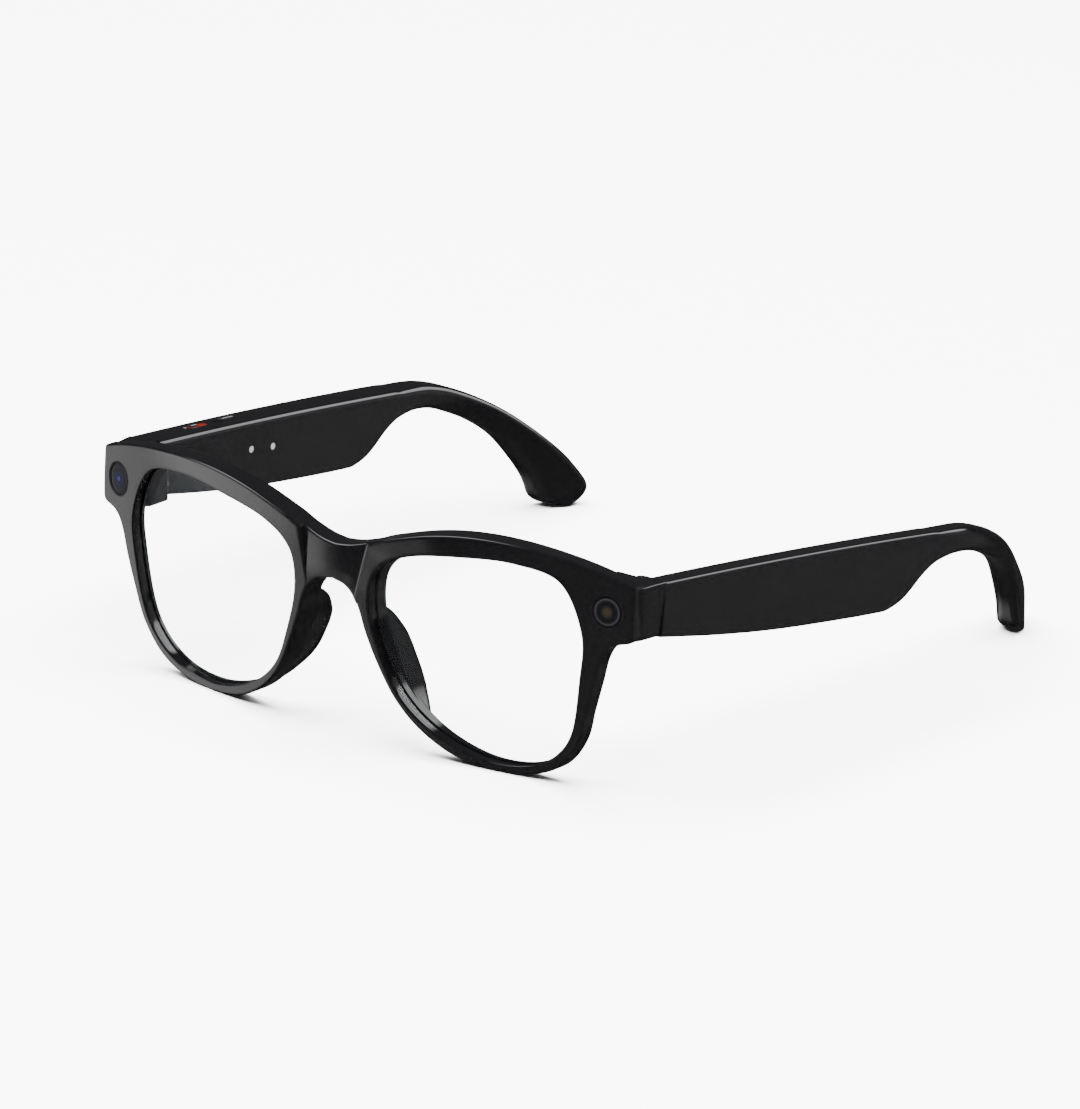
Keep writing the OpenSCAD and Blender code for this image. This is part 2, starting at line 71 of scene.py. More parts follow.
# Outlines in front view as (x, z): the lens about its centre, then the front's edges from nose to endpiece
# and back over the brow
LENS_POINTS = [
    (25.2, 0), (25.6, 10), (20.5, 19.6), (10, 21.8), (-2, 21.1), (-16, 18.7), (-24, 14),
    (-25.7, 6), (-23.2, -3.5), (-18.5, -13), (-10, -19.6), (2, -23), (14, -21.3), (22, -14)]
LOWER_EDGE = [
    (0, 35), (4, 34), (7, 31), (9.2, 25), (12.1, 18.4), (16.1, 11.3), (21.7, 5.6), (29.5, 1.4), (38.5, 0),
    (47.5, 0.7), (55, 3.9), (60, 10.2), (62.4, 17.6), (64.4, 24), (66, 29.6), (68.2, 32.7), (72.2, 34)]
UPPER_EDGE = [
    (73, 46), (66, 48.1), (57, 49.8), (46, 50.85), (35, 50.7), (24.6, 49.2), (14, 46.3), (8.9, 44.4),
    (4, 43), (0, 42.5)]


# ---------- curves and surfaces ----------

def catmull(points, steps=8, closed=False):
    """Smooth curve through points, as an array with a row for each point."""
    p = np.asarray(points, float)
    n = len(p)
    rows = []
    for i in range(n if closed else n - 1):
        if closed:
            a, b, c, d = p[i - 1], p[i], p[(i + 1) % n], p[(i + 2) % n]
        else:
            a, b, c, d = p[max(i - 1, 0)], p[i], p[i + 1], p[min(i + 2, n - 1)]
        for k in range(steps):
            t = k / steps
            rows.append(0.5 * (2 * b + (c - a) * t + (2 * a - 5 * b + 4 * c - d) * t ** 2
                               + (3 * b - a - 3 * c + d) * t ** 3))
    if not closed:
        rows.append(p[-1])
    return np.array(rows)


def resample(path, spacing, closed=False):
    """The path cut into equal steps of about that spacing."""
    p = np.vstack([path, path[:1]]) if closed else np.asarray(path)
    run = np.concatenate([[0], np.cumsum(np.linalg.norm(np.diff(p, axis=0), axis=1))])
    count = max(2, round(run[-1] / spacing))
    at = np.linspace(0, run[-1], count + 1)
    if closed:
        at = at[:-1]
    return np.stack([np.interp(at, run, p[:, k]) for k in range(p.shape[1])], 1)


def face_y(x, z):
    """Y of the front's face."""
    return APEX_Y + WRAP_R - np.sqrt(WRAP_R ** 2 - x ** 2) + (z - CURVE_Z) ** 2 / (2 * UPRIGHT_R)


def rear_y(x, z):
    """Y of the rims' rear, which is flatter than the face."""
    back = REAR_WRAP_R - np.sqrt(REAR_WRAP_R ** 2 - x ** 2)
    return APEX_Y + RIM_D + back + (z - CURVE_Z) ** 2 / (2 * REAR_UPRIGHT_R)


# Shares of a rounded edge's radius, from its first face to its second: how far in along the one, and how deep
# below the other
QUARTER = [(1 - math.cos(a), 1 - math.sin(a)) for a in np.linspace(0, math.pi / 2, 5)]


def smooth_step(t):
    """0 below 0, 1 above 1 and a smooth rise between."""
    t = np.clip(t, 0, 1)
    return t * t * (3 - 2 * t)


# ---------- meshes ----------

def linked_mesh(name, verts, faces, side):
    """An object in the scene from millimetres; side -1 mirrors it to the wearer's right."""
    v = np.asarray(verts, float) * MM
    if side < 0:
        v = v * [-1, 1, 1]
        faces = [tuple(reversed(f)) for f in faces]
    mesh = bpy.data.meshes.new(name)
    mesh.from_pydata([tuple(p) for p in v], [], [tuple(f) for f in faces])
    obj = bpy.data.objects.new(name, mesh)
    bpy.context.scene.collection.objects.link(obj)
    return obj


def face_outwards(mesh):
    """Turns all the faces of a closed mesh outwards."""
    bm = bmesh.new()
    bm.from_mesh(mesh)
    bmesh.ops.recalc_face_normals(bm, faces=bm.faces)
    bm.to_mesh(mesh)
    bm.free()


def mesh_object(name, verts, faces, body, material, side=1):
    """A closed, smooth-shaded piece with crisp corners that rides on a body."""
    obj = linked_mesh(name, verts, faces, side)
    mesh = obj.data
    mesh.polygons.foreach_set("use_smooth", [True] * len(mesh.polygons))
    mesh.update()
    mesh.materials.append(material)
    face_outwards(mesh)
    mesh.set_sharp_from_angle(angle=CORNER)
    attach(obj, body)
    return obj


def cutter_object(verts, faces, side):
    """A helper mesh that a boolean takes away from a piece."""
    obj = linked_mesh("cutter", verts, faces, side)
    face_outwards(obj.data)
    return obj


def ring_faces(rows, per_row, close_rows=False, close_columns=True):
    """Quads of a grid numbered row by row."""
    faces = []
    for r in range(rows if close_rows else rows - 1):
        for c in range(per_row if close_columns else per_row - 1):
            a = r * per_row + c
            b = r * per_row + (c + 1) % per_row
            nxt = ((r + 1) % rows) * per_row
            faces.append((a, b, nxt + (c + 1) % per_row, nxt + c))
    return faces


def tube_faces(rows, per_row):
    """Faces of a loft of closed rows, capped at its first and last row."""
    caps = [tuple(range(per_row)), tuple(reversed(range((rows - 1) * per_row, rows * per_row)))]
    return ring_faces(rows, per_row) + caps


def bar_faces(rows, per_row):
    """Faces of a bar whose rows run lengthwise and close round it, capped at both of its ends."""
    caps = [tuple(r * per_row for r in range(rows)),
            tuple(r * per_row + per_row - 1 for r in reversed(range(rows)))]
    return ring_faces(rows, per_row, close_rows=True, close_columns=False) + caps


def weighted_normals(obj):
    """Large flat faces set the shading, so that roundings don't smear over them."""
    mod = obj.modifiers.new("weighted_normal", "WEIGHTED_NORMAL")
    mod.keep_sharp = True
    mod.weight = 80


def cut(obj, cutters):
    """Cuts the cutter meshes out of obj for good."""
    for cutter in cutters:
        mod = obj.modifiers.new("boolean", "BOOLEAN")
        mod.operation = "DIFFERENCE"
        mod.solver = "EXACT"
        mod.object = cutter
        bpy.context.view_layer.objects.active = obj
        bpy.ops.object.modifier_apply(modifier=mod.name)
        bpy.data.objects.remove(cutter)
    obj.data.set_sharp_from_angle(angle=CORNER)
    weighted_normals(obj)


# ---------- materials ----------

def new_material(name):
    """A node material, its tree and its main shader."""
    mat = bpy.data.materials.new(name)
    mat.use_nodes = True
    tree = mat.node_tree
    return mat, tree, tree.nodes["Principled BSDF"]


def add_noise(tree, scale, detail=4.0, rough=0.55):
    """A noise texture in object coordinates, so that it needs no UVs."""
    coord = tree.nodes.new("ShaderNodeTexCoord")
    noise = tree.nodes.new("ShaderNodeTexNoise")
    noise.inputs["Scale"].default_value = scale
    noise.inputs["Detail"].default_value = detail
    noise.inputs["Roughness"].default_value = rough
    tree.links.new(coord.outputs["Object"], noise.inputs["Vector"])
    return noise


def remap(tree, value, low, high, start=0.3, end=0.7):
    """A factor turned into the range low to high."""
    node = tree.nodes.new("ShaderNodeMapRange")
    node.inputs["From Min"].default_value = start
    node.inputs["From Max"].default_value = end
    node.inputs["To Min"].default_value = low
    node.inputs["To Max"].default_value = high
    tree.links.new(value, node.inputs["Value"])
    return node.outputs["Result"]


def add_bump(tree, shader, height, strength, distance):
    """Fine relief on a shader; the distance is in metres."""
    bump = tree.nodes.new("ShaderNodeBump")
    bump.inputs["Strength"].default_value = strength
    bump.inputs["Distance"].default_value = distance
    tree.links.new(height, bump.inputs["Height"])
    tree.links.new(bump.outputs["Normal"], shader.inputs["Normal"])


def mix_colors(tree, factor, dark, light):
    """A colour that runs from dark to light with the factor."""
    mix = tree.nodes.new("ShaderNodeMix")
    mix.data_type = "RGBA"
    mix.inputs["A"].default_value = (*dark, 1)
    mix.inputs["B"].default_value = (*light, 1)
    tree.links.new(factor, mix.inputs["Factor"])
    return mix.outputs["Result"]


# Depth of the fine relief on moulded and rolled surfaces, in metres
RELIEF = 0.00005


def surface(name, dark, light, roughness, scale, metallic=0.0, bump=0.0, bump_scale=None, specular=0.5):
    """A surface whose colour, gloss and fine relief vary a little over it."""
    mat, tree, shader = new_material(name)
    noise = add_noise(tree, scale)
    tree.links.new(mix_colors(tree, noise.outputs["Fac"], dark, light), shader.inputs["Base Color"])
    tree.links.new(remap(tree, noise.outputs["Fac"], *roughness), shader.inputs["Roughness"])
    shader.inputs["Metallic"].default_value = metallic
    shader.inputs["Specular IOR Level"].default_value = specular
    if bump:
        fine = add_noise(tree, bump_scale or scale * 8, 6.0)
        add_bump(tree, shader, fine.outputs["Fac"], bump, RELIEF)
    return mat


def gloss_black_material():
    """Polished black acetate: a clear coat over a near-black body, with faint polishing ripple and haze."""
    mat, tree, shader = new_material("gloss_black")
    cloud = add_noise(tree, 90.0, 3.0)
    body_colour = mix_colors(tree, cloud.outputs["Fac"], (0.0012, 0.0012, 0.0014), (0.0022, 0.0022, 0.0026))
    tree.links.new(body_colour, shader.inputs["Base Color"])
    haze = add_noise(tree, 900.0, 5.0)
    tree.links.new(remap(tree, haze.outputs["Fac"], 0.06, 0.1), shader.inputs["Roughness"])
    ripple = add_noise(tree, 160.0, 2.0)
    add_bump(tree, shader, ripple.outputs["Fac"], 0.006, 0.00003)
    shader.inputs["IOR"].default_value = 1.49
    shader.inputs["Coat Weight"].default_value = 0.35
    shader.inputs["Coat Roughness"].default_value = 0.02
    return mat


def lens_material():
    """Clear coated lens: it lets nearly everything through and reflects a little."""
    mat, tree, shader = new_material("lens_glass")
    tree.nodes.remove(shader)
    clear = tree.nodes.new("ShaderNodeBsdfTransparent")
    clear.inputs["Color"].default_value = (0.985, 0.99, 0.99, 1)
    shine = tree.nodes.new("ShaderNodeBsdfGlossy")
    haze = add_noise(tree, 300.0, 3.0)
    tree.links.new(remap(tree, haze.outputs["Fac"], 0.005, 0.02), shine.inputs["Roughness"])
    shine.inputs["Color"].default_value = (0.85, 0.92, 1.0, 1)
    mix = tree.nodes.new("ShaderNodeMixShader")
    mix.inputs["Fac"].default_value = 0.012
    tree.links.new(clear.outputs[0], mix.inputs[1])
    tree.links.new(shine.outputs[0], mix.inputs[2])
    tree.links.new(mix.outputs[0], tree.nodes["Material Output"].inputs["Surface"])
    return mat


def disc_glass_material(name, centre, rings):
    """Cover glass over optics: rings of (share of the disc's radius, colour) about a centre in metres."""
    mat, tree, shader = new_material(name)
    coord = tree.nodes.new("ShaderNodeTexCoord")
    offset = tree.nodes.new("ShaderNodeVectorMath")
    offset.operation = "DISTANCE"
    offset.inputs[1].default_value = centre
    tree.links.new(coord.outputs["Object"], offset.inputs[0])
    ramp = tree.nodes.new("ShaderNodeValToRGB")
    tree.links.new(remap(tree, offset.outputs["Value"], 0.0, 1.0, 0.0, DISC_R * MM), ramp.inputs["Fac"])
    ramp.color_ramp.elements[0].color = (*rings[0][1], 1)
    ramp.color_ramp.elements[0].position = rings[0][0]
    ramp.color_ramp.elements[1].color = (*rings[-1][1], 1)
    ramp.color_ramp.elements[1].position = rings[-1][0]
    for position, colour in rings[1:-1]:
        element = ramp.color_ramp.elements.new(position)
        element.color = (*colour, 1)
    speck = add_noise(tree, 2500.0, 3.0)
    tree.links.new(ramp.outputs["Color"], shader.inputs["Base Color"])
    tree.links.new(remap(tree, speck.outputs["Fac"], 0.03, 0.09), shader.inputs["Roughness"])
    shader.inputs["Specular IOR Level"].default_value = 0.09
    return mat


GLOSS = gloss_black_material()
LENS = lens_material()
RUBBER = surface("pad_rubber", (0.003, 0.003, 0.0035), (0.006, 0.006, 0.0065), (0.2, 0.28), 700, bump=0.1)
SATIN = surface("satin_black", (0.004, 0.004, 0.005), (0.008, 0.008, 0.01), (0.12, 0.22), 500, bump=0.1)
STEEL = surface("satin_steel", (0.45, 0.45, 0.47), (0.66, 0.66, 0.68), (0.22, 0.38), 900, 1.0, 0.25, 4000)
CONTACT = surface("contact_metal", (0.17, 0.17, 0.167), (0.24, 0.24, 0.236), (0.25, 0.4), 1200, 0.35, 0.1)
MESH_STEEL = surface("mesh_steel", (0.03, 0.03, 0.03), (0.2, 0.2, 0.21), (0.3, 0.5), 6000, 0.9, 0.6, 9000)
FLEX = surface("copper_flex", (0.45, 0.22, 0.07), (0.62, 0.34, 0.13), (0.3, 0.45), 800, 0.2, 0.15)
BOARD = surface("green_board", (0.02, 0.1, 0.05), (0.05, 0.2, 0.09), (0.3, 0.5), 1500, 0.0, 0.3, 5000)
FOIL = surface("cell_foil", (0.5, 0.52, 0.54), (0.66, 0.68, 0.7), (0.25, 0.4), 600, 0.8, 0.3, 900)
MODULE = surface("dark_module", (0.02, 0.02, 0.022), (0.05, 0.05, 0.055), (0.35, 0.5), 900, 0.0, 0.3)
CAN = surface("mic_can", (0.5, 0.4, 0.18), (0.72, 0.62, 0.38), (0.25, 0.4), 900, 0.9, 0.1)
RED = surface("red_inlay", (0.026, 0.002, 0.0014), (0.05, 0.004, 0.0026), (0.35, 0.5), 1500, 0.0, 0.2)
# Light grey strips on the slider and the button are a painted highlight: they stand for light caught on the
# slots' edges
PAINTED_HIGHLIGHT = surface("painted_highlight_white", (0.07, 0.07, 0.068), (0.11, 0.11, 0.105), (0.35, 0.5), 1500, 0.0, 0.1)

CAD_MATERIALS = {
    "brow_cover": GLOSS, "brow_cable": FLEX, "camera_module": MODULE, "light_board": BOARD,
    "hinge_leaf_screws": STEEL, "battery": FOIL, "touch_board": BOARD, "main_board": BOARD,
    "touch_pad": FLEX, "status_light": MODULE, "microphone": CAN, "tact_switch": MODULE,
    "slide_switch": MODULE, "switch_inlay": RED, "charge_contacts": CONTACT, "power_switch": SATIN,
    "capture_button": SATIN,
}
PAIRED_MATERIALS = {
    "endpiece_cover": GLOSS, "hinge_front": STEEL, "hinge_screw": STEEL, "hinge_temple": STEEL,
    "speaker": MODULE, "speaker_mesh": MESH_STEEL,
}
for pair_name, pair_material in PAIRED_MATERIALS.items():
    CAD_MATERIALS[pair_name + "_left"] = pair_material
    CAD_MATERIALS[pair_name + "_right"] = pair_material
for node_name, node_material in CAD_MATERIALS.items():
    node_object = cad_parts[node_name]
    node_object.data.materials.clear()
    node_object.data.materials.append(node_material)


def front_piece(name, rows, faces, side=1):
    """A gloss black piece of the front moulding, from its rows of points."""
    piece = mesh_object(name, np.vstack(rows), faces, "front", GLOSS, side)
    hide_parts("front_frame")
    return piece


# ---------- the front's rims ----------

APERTURE = catmull(LENS_POINTS, 12, closed=True) + LENS_CENTRE
# The straight crease between rim and bridge, and the endpiece's outer side from below
CREASE_LOW = np.array([6.1, 32.1])
CREASE_TOP = np.array([9.3, 44.5])
ENDPIECE_SIDE = [(72.9, 35.2), (73, 40), (73.05, 45)]
EDGE_STEP = 0.55
FACE_ROWS = 9
# Roundings of the rim: face at the opening, face at the outline, rear at the outline, rear at the opening
FRONT_IN_R, FRONT_OUT_R, REAR_OUT_R, REAR_IN_R = 0.4, 0.5, 0.55, 0.6
# The lens groove in the opening's wall, from its rear lip to its front one: depth behind the face, sink
GROOVE = [(2.95, 0.0), (2.85, 0.35), (1.25, 0.35), (1.15, 0.0)]


def rim_outline():
    """Outline of one rim, anticlockwise: its edges and, towards the bridge, the straight crease."""
    lower = catmull(LOWER_EDGE, 12)
    upper = catmull(UPPER_EDGE, 12)
    lower = lower[(lower[:, 0] > CREASE_LOW[0]) | (lower[:, 1] < CREASE_LOW[1] - 1)]
    upper = upper[upper[:, 0] > CREASE_TOP[0]]
    corner = catmull([lower[-1], *ENDPIECE_SIDE, upper[0]], 8)[1:-1]
    edge = resample(np.vstack([CREASE_LOW, lower, corner, upper, CREASE_TOP]), EDGE_STEP)
    crease = CREASE_TOP + (CREASE_LOW - CREASE_TOP) * np.linspace(0, 1, 24)[1:-1, None]
    return np.vstack([edge, crease])


def loop_normals(loop, soften=1):
    """Unit vectors to the left of a closed loop, which is its inside when it runs anticlockwise."""
    t = np.roll(loop, -soften, 0) - np.roll(loop, soften, 0)
    n = np.stack([-t[:, 1], t[:, 0]], 1)
    return n / np.linalg.norm(n, axis=1)[:, None]


def lens_loop(angles, grow=0.0):
    """Points of the lens opening, grown by some margin, at these angles about its centre."""
    loop = APERTURE - loop_normals(APERTURE) * grow
    rel = loop - LENS_CENTRE
    a = np.unwrap(np.arctan2(rel[:, 1], rel[:, 0]))
    r = np.linalg.norm(rel, axis=1)
    order = np.argsort(a)
    a, r = a[order], r[order]
    a = np.concatenate([a - 2 * np.pi, a, a + 2 * np.pi])
    r = np.concatenate([r, r, r])
    radius = np.interp(angles, a, r)
    return LENS_CENTRE + radius[:, None] * np.stack([np.cos(angles), np.sin(angles)], 1)


def rim_sections(outline):
    """Rows of points that run round the rim, in order round its cross-section."""
    rel = outline - LENS_CENTRE
    inner = lens_loop(np.arctan2(rel[:, 1], rel[:, 0]))
    n_out = loop_normals(outline, 2)
    toward = outline - inner
    n_in = -loop_normals(inner, 2)
    flip = np.sum(n_in * toward, axis=1) < 0
    n_in[flip] *= -1
    rows = []

    def put(xz, depth, from_rear=False):
        y = rear_y(xz[:, 0], xz[:, 1]) - depth if from_rear else face_y(xz[:, 0], xz[:, 1]) + depth
        rows.append(np.stack([xz[:, 0], y, xz[:, 1]], 1))

    for aside, deep in QUARTER:
        put(inner + n_in * FRONT_IN_R * aside, FRONT_IN_R * deep)
    start = inner + n_in * FRONT_IN_R
    stop = outline + n_out * FRONT_OUT_R
    for k in range(1, FACE_ROWS):
        put(start + (stop - start) * k / FACE_ROWS, 0.0)
    for aside, deep in QUARTER[::-1]:
        put(outline + n_out * FRONT_OUT_R * aside, FRONT_OUT_R * deep)
    for aside, deep in QUARTER:
        put(outline + n_out * REAR_OUT_R * aside, REAR_OUT_R * deep, True)
    start = outline + n_out * REAR_OUT_R
    stop = inner + n_in * REAR_IN_R
    for k in range(1, FACE_ROWS):
        put(start + (stop - start) * k / FACE_ROWS, 0.0, True)
    for aside, deep in QUARTER[::-1]:
        put(inner + n_in * REAR_IN_R * aside, REAR_IN_R * deep, True)
    for depth, sink in GROOVE:
        put(inner + n_in * sink, depth)
    return rows


def make_rim(side, tag):
    """One rim with its part of the endpiece's face, and the stepped bore behind the disc."""
    outline = rim_outline()
    rows = rim_sections(outline)
    faces = ring_faces(len(rows), len(outline), close_rows=True)
    rim = front_piece("rim_" + tag, rows, faces, side)
    cut(rim, [disc_cutter(side, radius, floor) for radius, floor in DISC_BORES])


TURN_STEPS = 96
# Seat of the bezel and bore for the optics: radius, and height of the floor from the face
DISC_BORES = [(3.78, -1.6), (3.3, -6)]
# How far a disc's cutter stands out of the face
CLEAR_OF_FACE = 1.0


def disc_matrix():
    """Origin on the disc's centre on the left side's face, +Z out of the front, in millimetres."""
    y = float(face_y(np.array(DISC_X), np.array(DISC_Z)))
    wrap = math.asin(DISC_X / WRAP_R)
    lean = math.pi / 2 - math.asin((DISC_Z - CURVE_Z) / UPRIGHT_R)
    return (Matrix.Translation((DISC_X, y, DISC_Z)) @ Matrix.Rotation(wrap, 4, "Z")
            @ Matrix.Rotation(lean, 4, "X"))


def disc_verts(profile):
    """Rows of a turned shape in the disc's frame from (radius, height) pairs."""
    m = disc_matrix()
    verts = []
    for r, h in profile:
        for k in range(TURN_STEPS):
            a = 2 * math.pi * k / TURN_STEPS
            verts.append(tuple(m @ Vector((r * math.cos(a), r * math.sin(a), h))))
    return verts


def disc_cutter(side, radius, floor):
    """A cylinder from a floor below the disc's face to just clear of the face."""
    verts = disc_verts([(radius, floor), (radius, CLEAR_OF_FACE)])
    return cutter_object(verts, tube_faces(2, TURN_STEPS), side)


# Bridge: half widths at its top and bottom, and the rounding of its edges
BRIDGE_TOP_X, BRIDGE_LOW_X, BRIDGE_R = 10.2, 7.0, 0.55
# How far its face is set back, from what height and over what rise
SETBACK, SETBACK_FROM, SETBACK_RISE = 1.6, 31.9, 11.0
# The slight bulge in its middle: depth, from what height and over what rise, and half width
BULGE, BULGE_FROM, BULGE_RISE, BULGE_HALF = 0.35, 32, 6, 8
# Share of its height that the flat part of its face covers
BRIDGE_FLAT = (0.08, 0.92)
# It stays this far inside the rims' edges and rear where they meet
BRIDGE_EDGE_GAP, BRIDGE_REAR_GAP = 0.01, 0.02


def bridge_front_y(x, z):
    """Y of the bridge's face."""
    set_back = SETBACK * np.clip((z - SETBACK_FROM) / SETBACK_RISE, 0, 1.2)
    across = np.cos(np.clip(np.abs(x) / BULGE_HALF, 0, 1) * math.pi / 2)
    bulge = -BULGE * smooth_step((z - BULGE_FROM) / BULGE_RISE) * across
    return APEX_Y + (z - CURVE_Z) ** 2 / (2 * UPRIGHT_R) + set_back + bulge


def make_bridge():
    """The set-back bridge between the creases, as one lofted bar that ends inside both rims."""
    columns = np.linspace(-1, 1, 41)
    upper = catmull(UPPER_EDGE, 12)[::-1]
    lower = catmull(LOWER_EDGE, 12)[:60]
    top_x = columns * BRIDGE_TOP_X
    low_x = columns * BRIDGE_LOW_X
    top_z = np.interp(np.abs(top_x), upper[:, 0], upper[:, 1]) - BRIDGE_EDGE_GAP
    low_z = np.interp(np.abs(low_x), lower[:, 0], lower[:, 1]) + BRIDGE_EDGE_GAP
    rows = []

    def put(share, inset, depth, rear=False):
        x = low_x + (top_x - low_x) * share
        z = low_z + (top_z - low_z) * share + inset
        y = rear_y(x, z) - depth - BRIDGE_REAR_GAP if rear else bridge_front_y(x, z) + depth
        rows.append(np.stack([x, y, z], 1))

    flat = np.linspace(*BRIDGE_FLAT, 10)
    for aside, deep in QUARTER:
        put(0, BRIDGE_R * aside, BRIDGE_R * deep)
    for share in flat:
        put(share, 0.0, 0.0)
    for aside, deep in QUARTER[::-1]:
        put(1, -BRIDGE_R * aside, BRIDGE_R * deep)
    for aside, deep in QUARTER:
        put(1, -BRIDGE_R * aside, BRIDGE_R * deep, True)
    for share in flat[::-1]:
        put(share, 0.0, 0.0, True)
    for aside, deep in QUARTER[::-1]:
        put(0, BRIDGE_R * aside, BRIDGE_R * deep, True)
    front_piece("bridge", rows, bar_faces(len(rows), len(columns)))


def rounded_section(corners, radii, steps=4):
    """A polygon with rounded corners, as rows of points; each corner has its own radius."""
    points = []
    n = len(corners)
    for i in range(n):
        p = np.array(corners[i], float)
        a = np.array(corners[i - 1], float) - p
        b = np.array(corners[(i + 1) % n], float) - p
        la, lb = np.linalg.norm(a), np.linalg.norm(b)
        a, b = a / la, b / lb
        angle = math.acos(np.clip(a @ b, -1, 1))
        reach = min(radii[i] / math.tan(angle / 2), 0.48 * la, 0.48 * lb)
        start, end = p + a * reach, p + b * reach
        for k in range(steps + 1):
            t = k / steps
            points.append((1 - t) ** 2 * start + 2 * t * (1 - t) * p + t ** 2 * end)
    return np.array(points)


# Endpiece block in section, from low inner to top outer corner, and how its outer side widens to the rear
BLOCK_IN_X, BLOCK_LOW, BLOCK_TOP = 61.9, 33.9, 45.6
BLOCK_LOW_X, BLOCK_TOP_X = 72.5, 73.02
BLOCK_GROW_LOW, BLOCK_GROW_TOP, BLOCK_GROW_FROM, BLOCK_GROW_RUN = 1.4, 1.2, 10.2, 9.5
BLOCK_REAR = APEX_Y + 18.55
# Stations of the block: distance behind the apex and how far the section is drawn in there
BLOCK_STATIONS = [(11.9, 0.4), (12.7, 0.12), (13.6, 0.0), (15.5, 0.0), (17.5, 0.0), (18.55, 0.0)]
# The wall beside the hinge: x of its inner face, how much its outer side widens with the block, and from what
# x over what width that widening sets in
WALL_IN_X, WALL_GROW, WALL_GROW_FROM, WALL_GROW_WIDE = 68.4, 1.3, 69, 3
# Its overlap with the block, and how far it stays below the block's top and above its bottom
WALL_OVERLAP, WALL_GAP = 0.6, 0.02
# The seam to the temple: its gap, and how far it leans over what height
SEAM_GAP, SEAM_LEAN, SEAM_RISE = 0.15, 1.4, 12


def block_growth(y):
    """How far the endpiece has widened at this place, 0 near the rim and 1 near the temple."""
    return (y - APEX_Y - BLOCK_GROW_FROM) / BLOCK_GROW_RUN


def make_endpiece(side, tag):
    """The block behind the front's corner, lofted from inside the rim back to the hinge."""
    rows = []
    for back, inset in BLOCK_STATIONS:
        y = APEX_Y + back
        grow = block_growth(y)
        outer_top = BLOCK_TOP_X + BLOCK_GROW_TOP * grow - inset
        outer_low = BLOCK_LOW_X + BLOCK_GROW_LOW * grow - inset
        corners = [(BLOCK_IN_X + inset, BLOCK_LOW + inset), (outer_low, BLOCK_LOW + inset),
                   (outer_top, BLOCK_TOP - inset), (BLOCK_IN_X + inset, BLOCK_TOP - inset)]
        section = rounded_section(corners, [0.8, 0.9, 0.7, 0.8])
        rows.append(np.column_stack([section[:, 0], np.full(len(section), y), section[:, 1]]))
    weighted_normals(front_piece("endpiece_" + tag, rows, tube_faces(len(rows), len(rows[0])), side))


def make_endpiece_wall(side, tag):
    """The outer wall that carries on beside the hinge to the leaning seam."""
    low, top = BLOCK_LOW + WALL_GAP, BLOCK_TOP - WALL_GAP
    corners = [(WALL_IN_X, low), (BLOCK_LOW_X, low), (BLOCK_TOP_X, top), (WALL_IN_X, top)]
    section = rounded_section(corners, [0.2, 0.9, 0.7, 0.2])
    lean = SEAM_LEAN * (BLOCK_TOP - section[:, 1]) / SEAM_RISE
    start = BLOCK_REAR - WALL_OVERLAP
    seam = PIVOT[1] + FRONT_S - SEAM_GAP - lean
    rows = []
    for t in np.linspace(0, 1, 6):
        y = start + (seam - start) * t
        widen = smooth_step((section[:, 0] - WALL_GROW_FROM) / WALL_GROW_WIDE)
        x = section[:, 0] + WALL_GROW * block_growth(y) * widen
        rows.append(np.column_stack([x, y, section[:, 1]]))
    weighted_normals(front_piece("endpiece_wall_" + tag, rows, tube_faces(len(rows), len(rows[0])), side))


# ---------- nose bosses and pads ----------

# Rear edge of the boss and outline of the pad, seen from the side: (depth, height)
BOSS_EDGE = [
    (-2, 29.6), (1.5, 29.2), (3.6, 28), (5.3, 26.3), (7.3, 23), (7.9, 20.5), (8, 17.5), (7.9, 14.8),
    (7.4, 12.5), (6.5, 10.8), (4.8, 8.4), (1.8, 5.8), (-2, 4.4)]
PAD_POINTS = [(2, 11.2), (3.8, 11.4), (5.4, 13), (6.4, 16), (6.4, 19.2), (5.4, 21.6), (3.8, 22.8), (2, 22.6)]
# Depths beside the nose are measured from this plane
PAD_Y = APEX_Y + 5
# Boss: thickness, how much it thins and leans for each unit of depth, radius of its rear edge, its heights,
# and how far it starts inside the rim
BOSS_T, BOSS_TAPER, BOSS_LEAN, BOSS_R = 2.6, 0.165, 0.026, 0.9
BOSS_LOW, BOSS_TOP, BOSS_SUNK = 4.45, 29.55, 1.2
# Its thickness at the bottom, and the height from which and rise over which it gains one more
BOSS_LOW_T, BOSS_GAIN_FROM, BOSS_GAIN_RISE = 1.6, 4, 5
# Pad: how far its middle stands proud, its edge's softness along and across, the depth of its hidden base
PAD_PROUD, PAD_SINK, PAD_SOFT_Z, PAD_SOFT_DEPTH, PAD_BASE = 0.2, 0.06, 0.5, 0.35, 0.3
# Grooves in the pad: how many, their depth, half width, first place and pitch
GROOVES, GROOVE_DEEP, GROOVE_WIDE, GROOVE_FIRST, GROOVE_PITCH = 4, 0.26, 0.17, 2.3, 1.1
# Number of places along the height of the boss and of the pad, and over the pad's depth
NOSE_STEPS, PAD_STEPS = 70, 89


def nose_edge(z):
    """Points of the rim's nose edge at these heights and the unit vectors from the nose into the rim."""
    edge = catmull(LOWER_EDGE[1:9], 12)[::-1]
    t = np.gradient(edge, axis=0)
    n = np.stack([t[:, 1], -t[:, 0]], 1)
    n /= np.linalg.norm(n, axis=1)[:, None]
    x = np.interp(z, edge[:, 1], edge[:, 0])
    nx = np.interp(z, edge[:, 1], n[:, 0])
    nz = np.interp(z, edge[:, 1], n[:, 1])
    return np.stack([x, z], 1), np.stack([nx, nz], 1)


def nose_point(p, n, depth, w):
    """A place beside the nose: depth behind the pad plane and w into the rim from its leaning side."""
    shift = 0.04 - BOSS_LEAN * (depth + 2)
    return np.stack([p[:, 0] + n[:, 0] * (w + shift), PAD_Y + depth, p[:, 1] + n[:, 1] * w], 1)


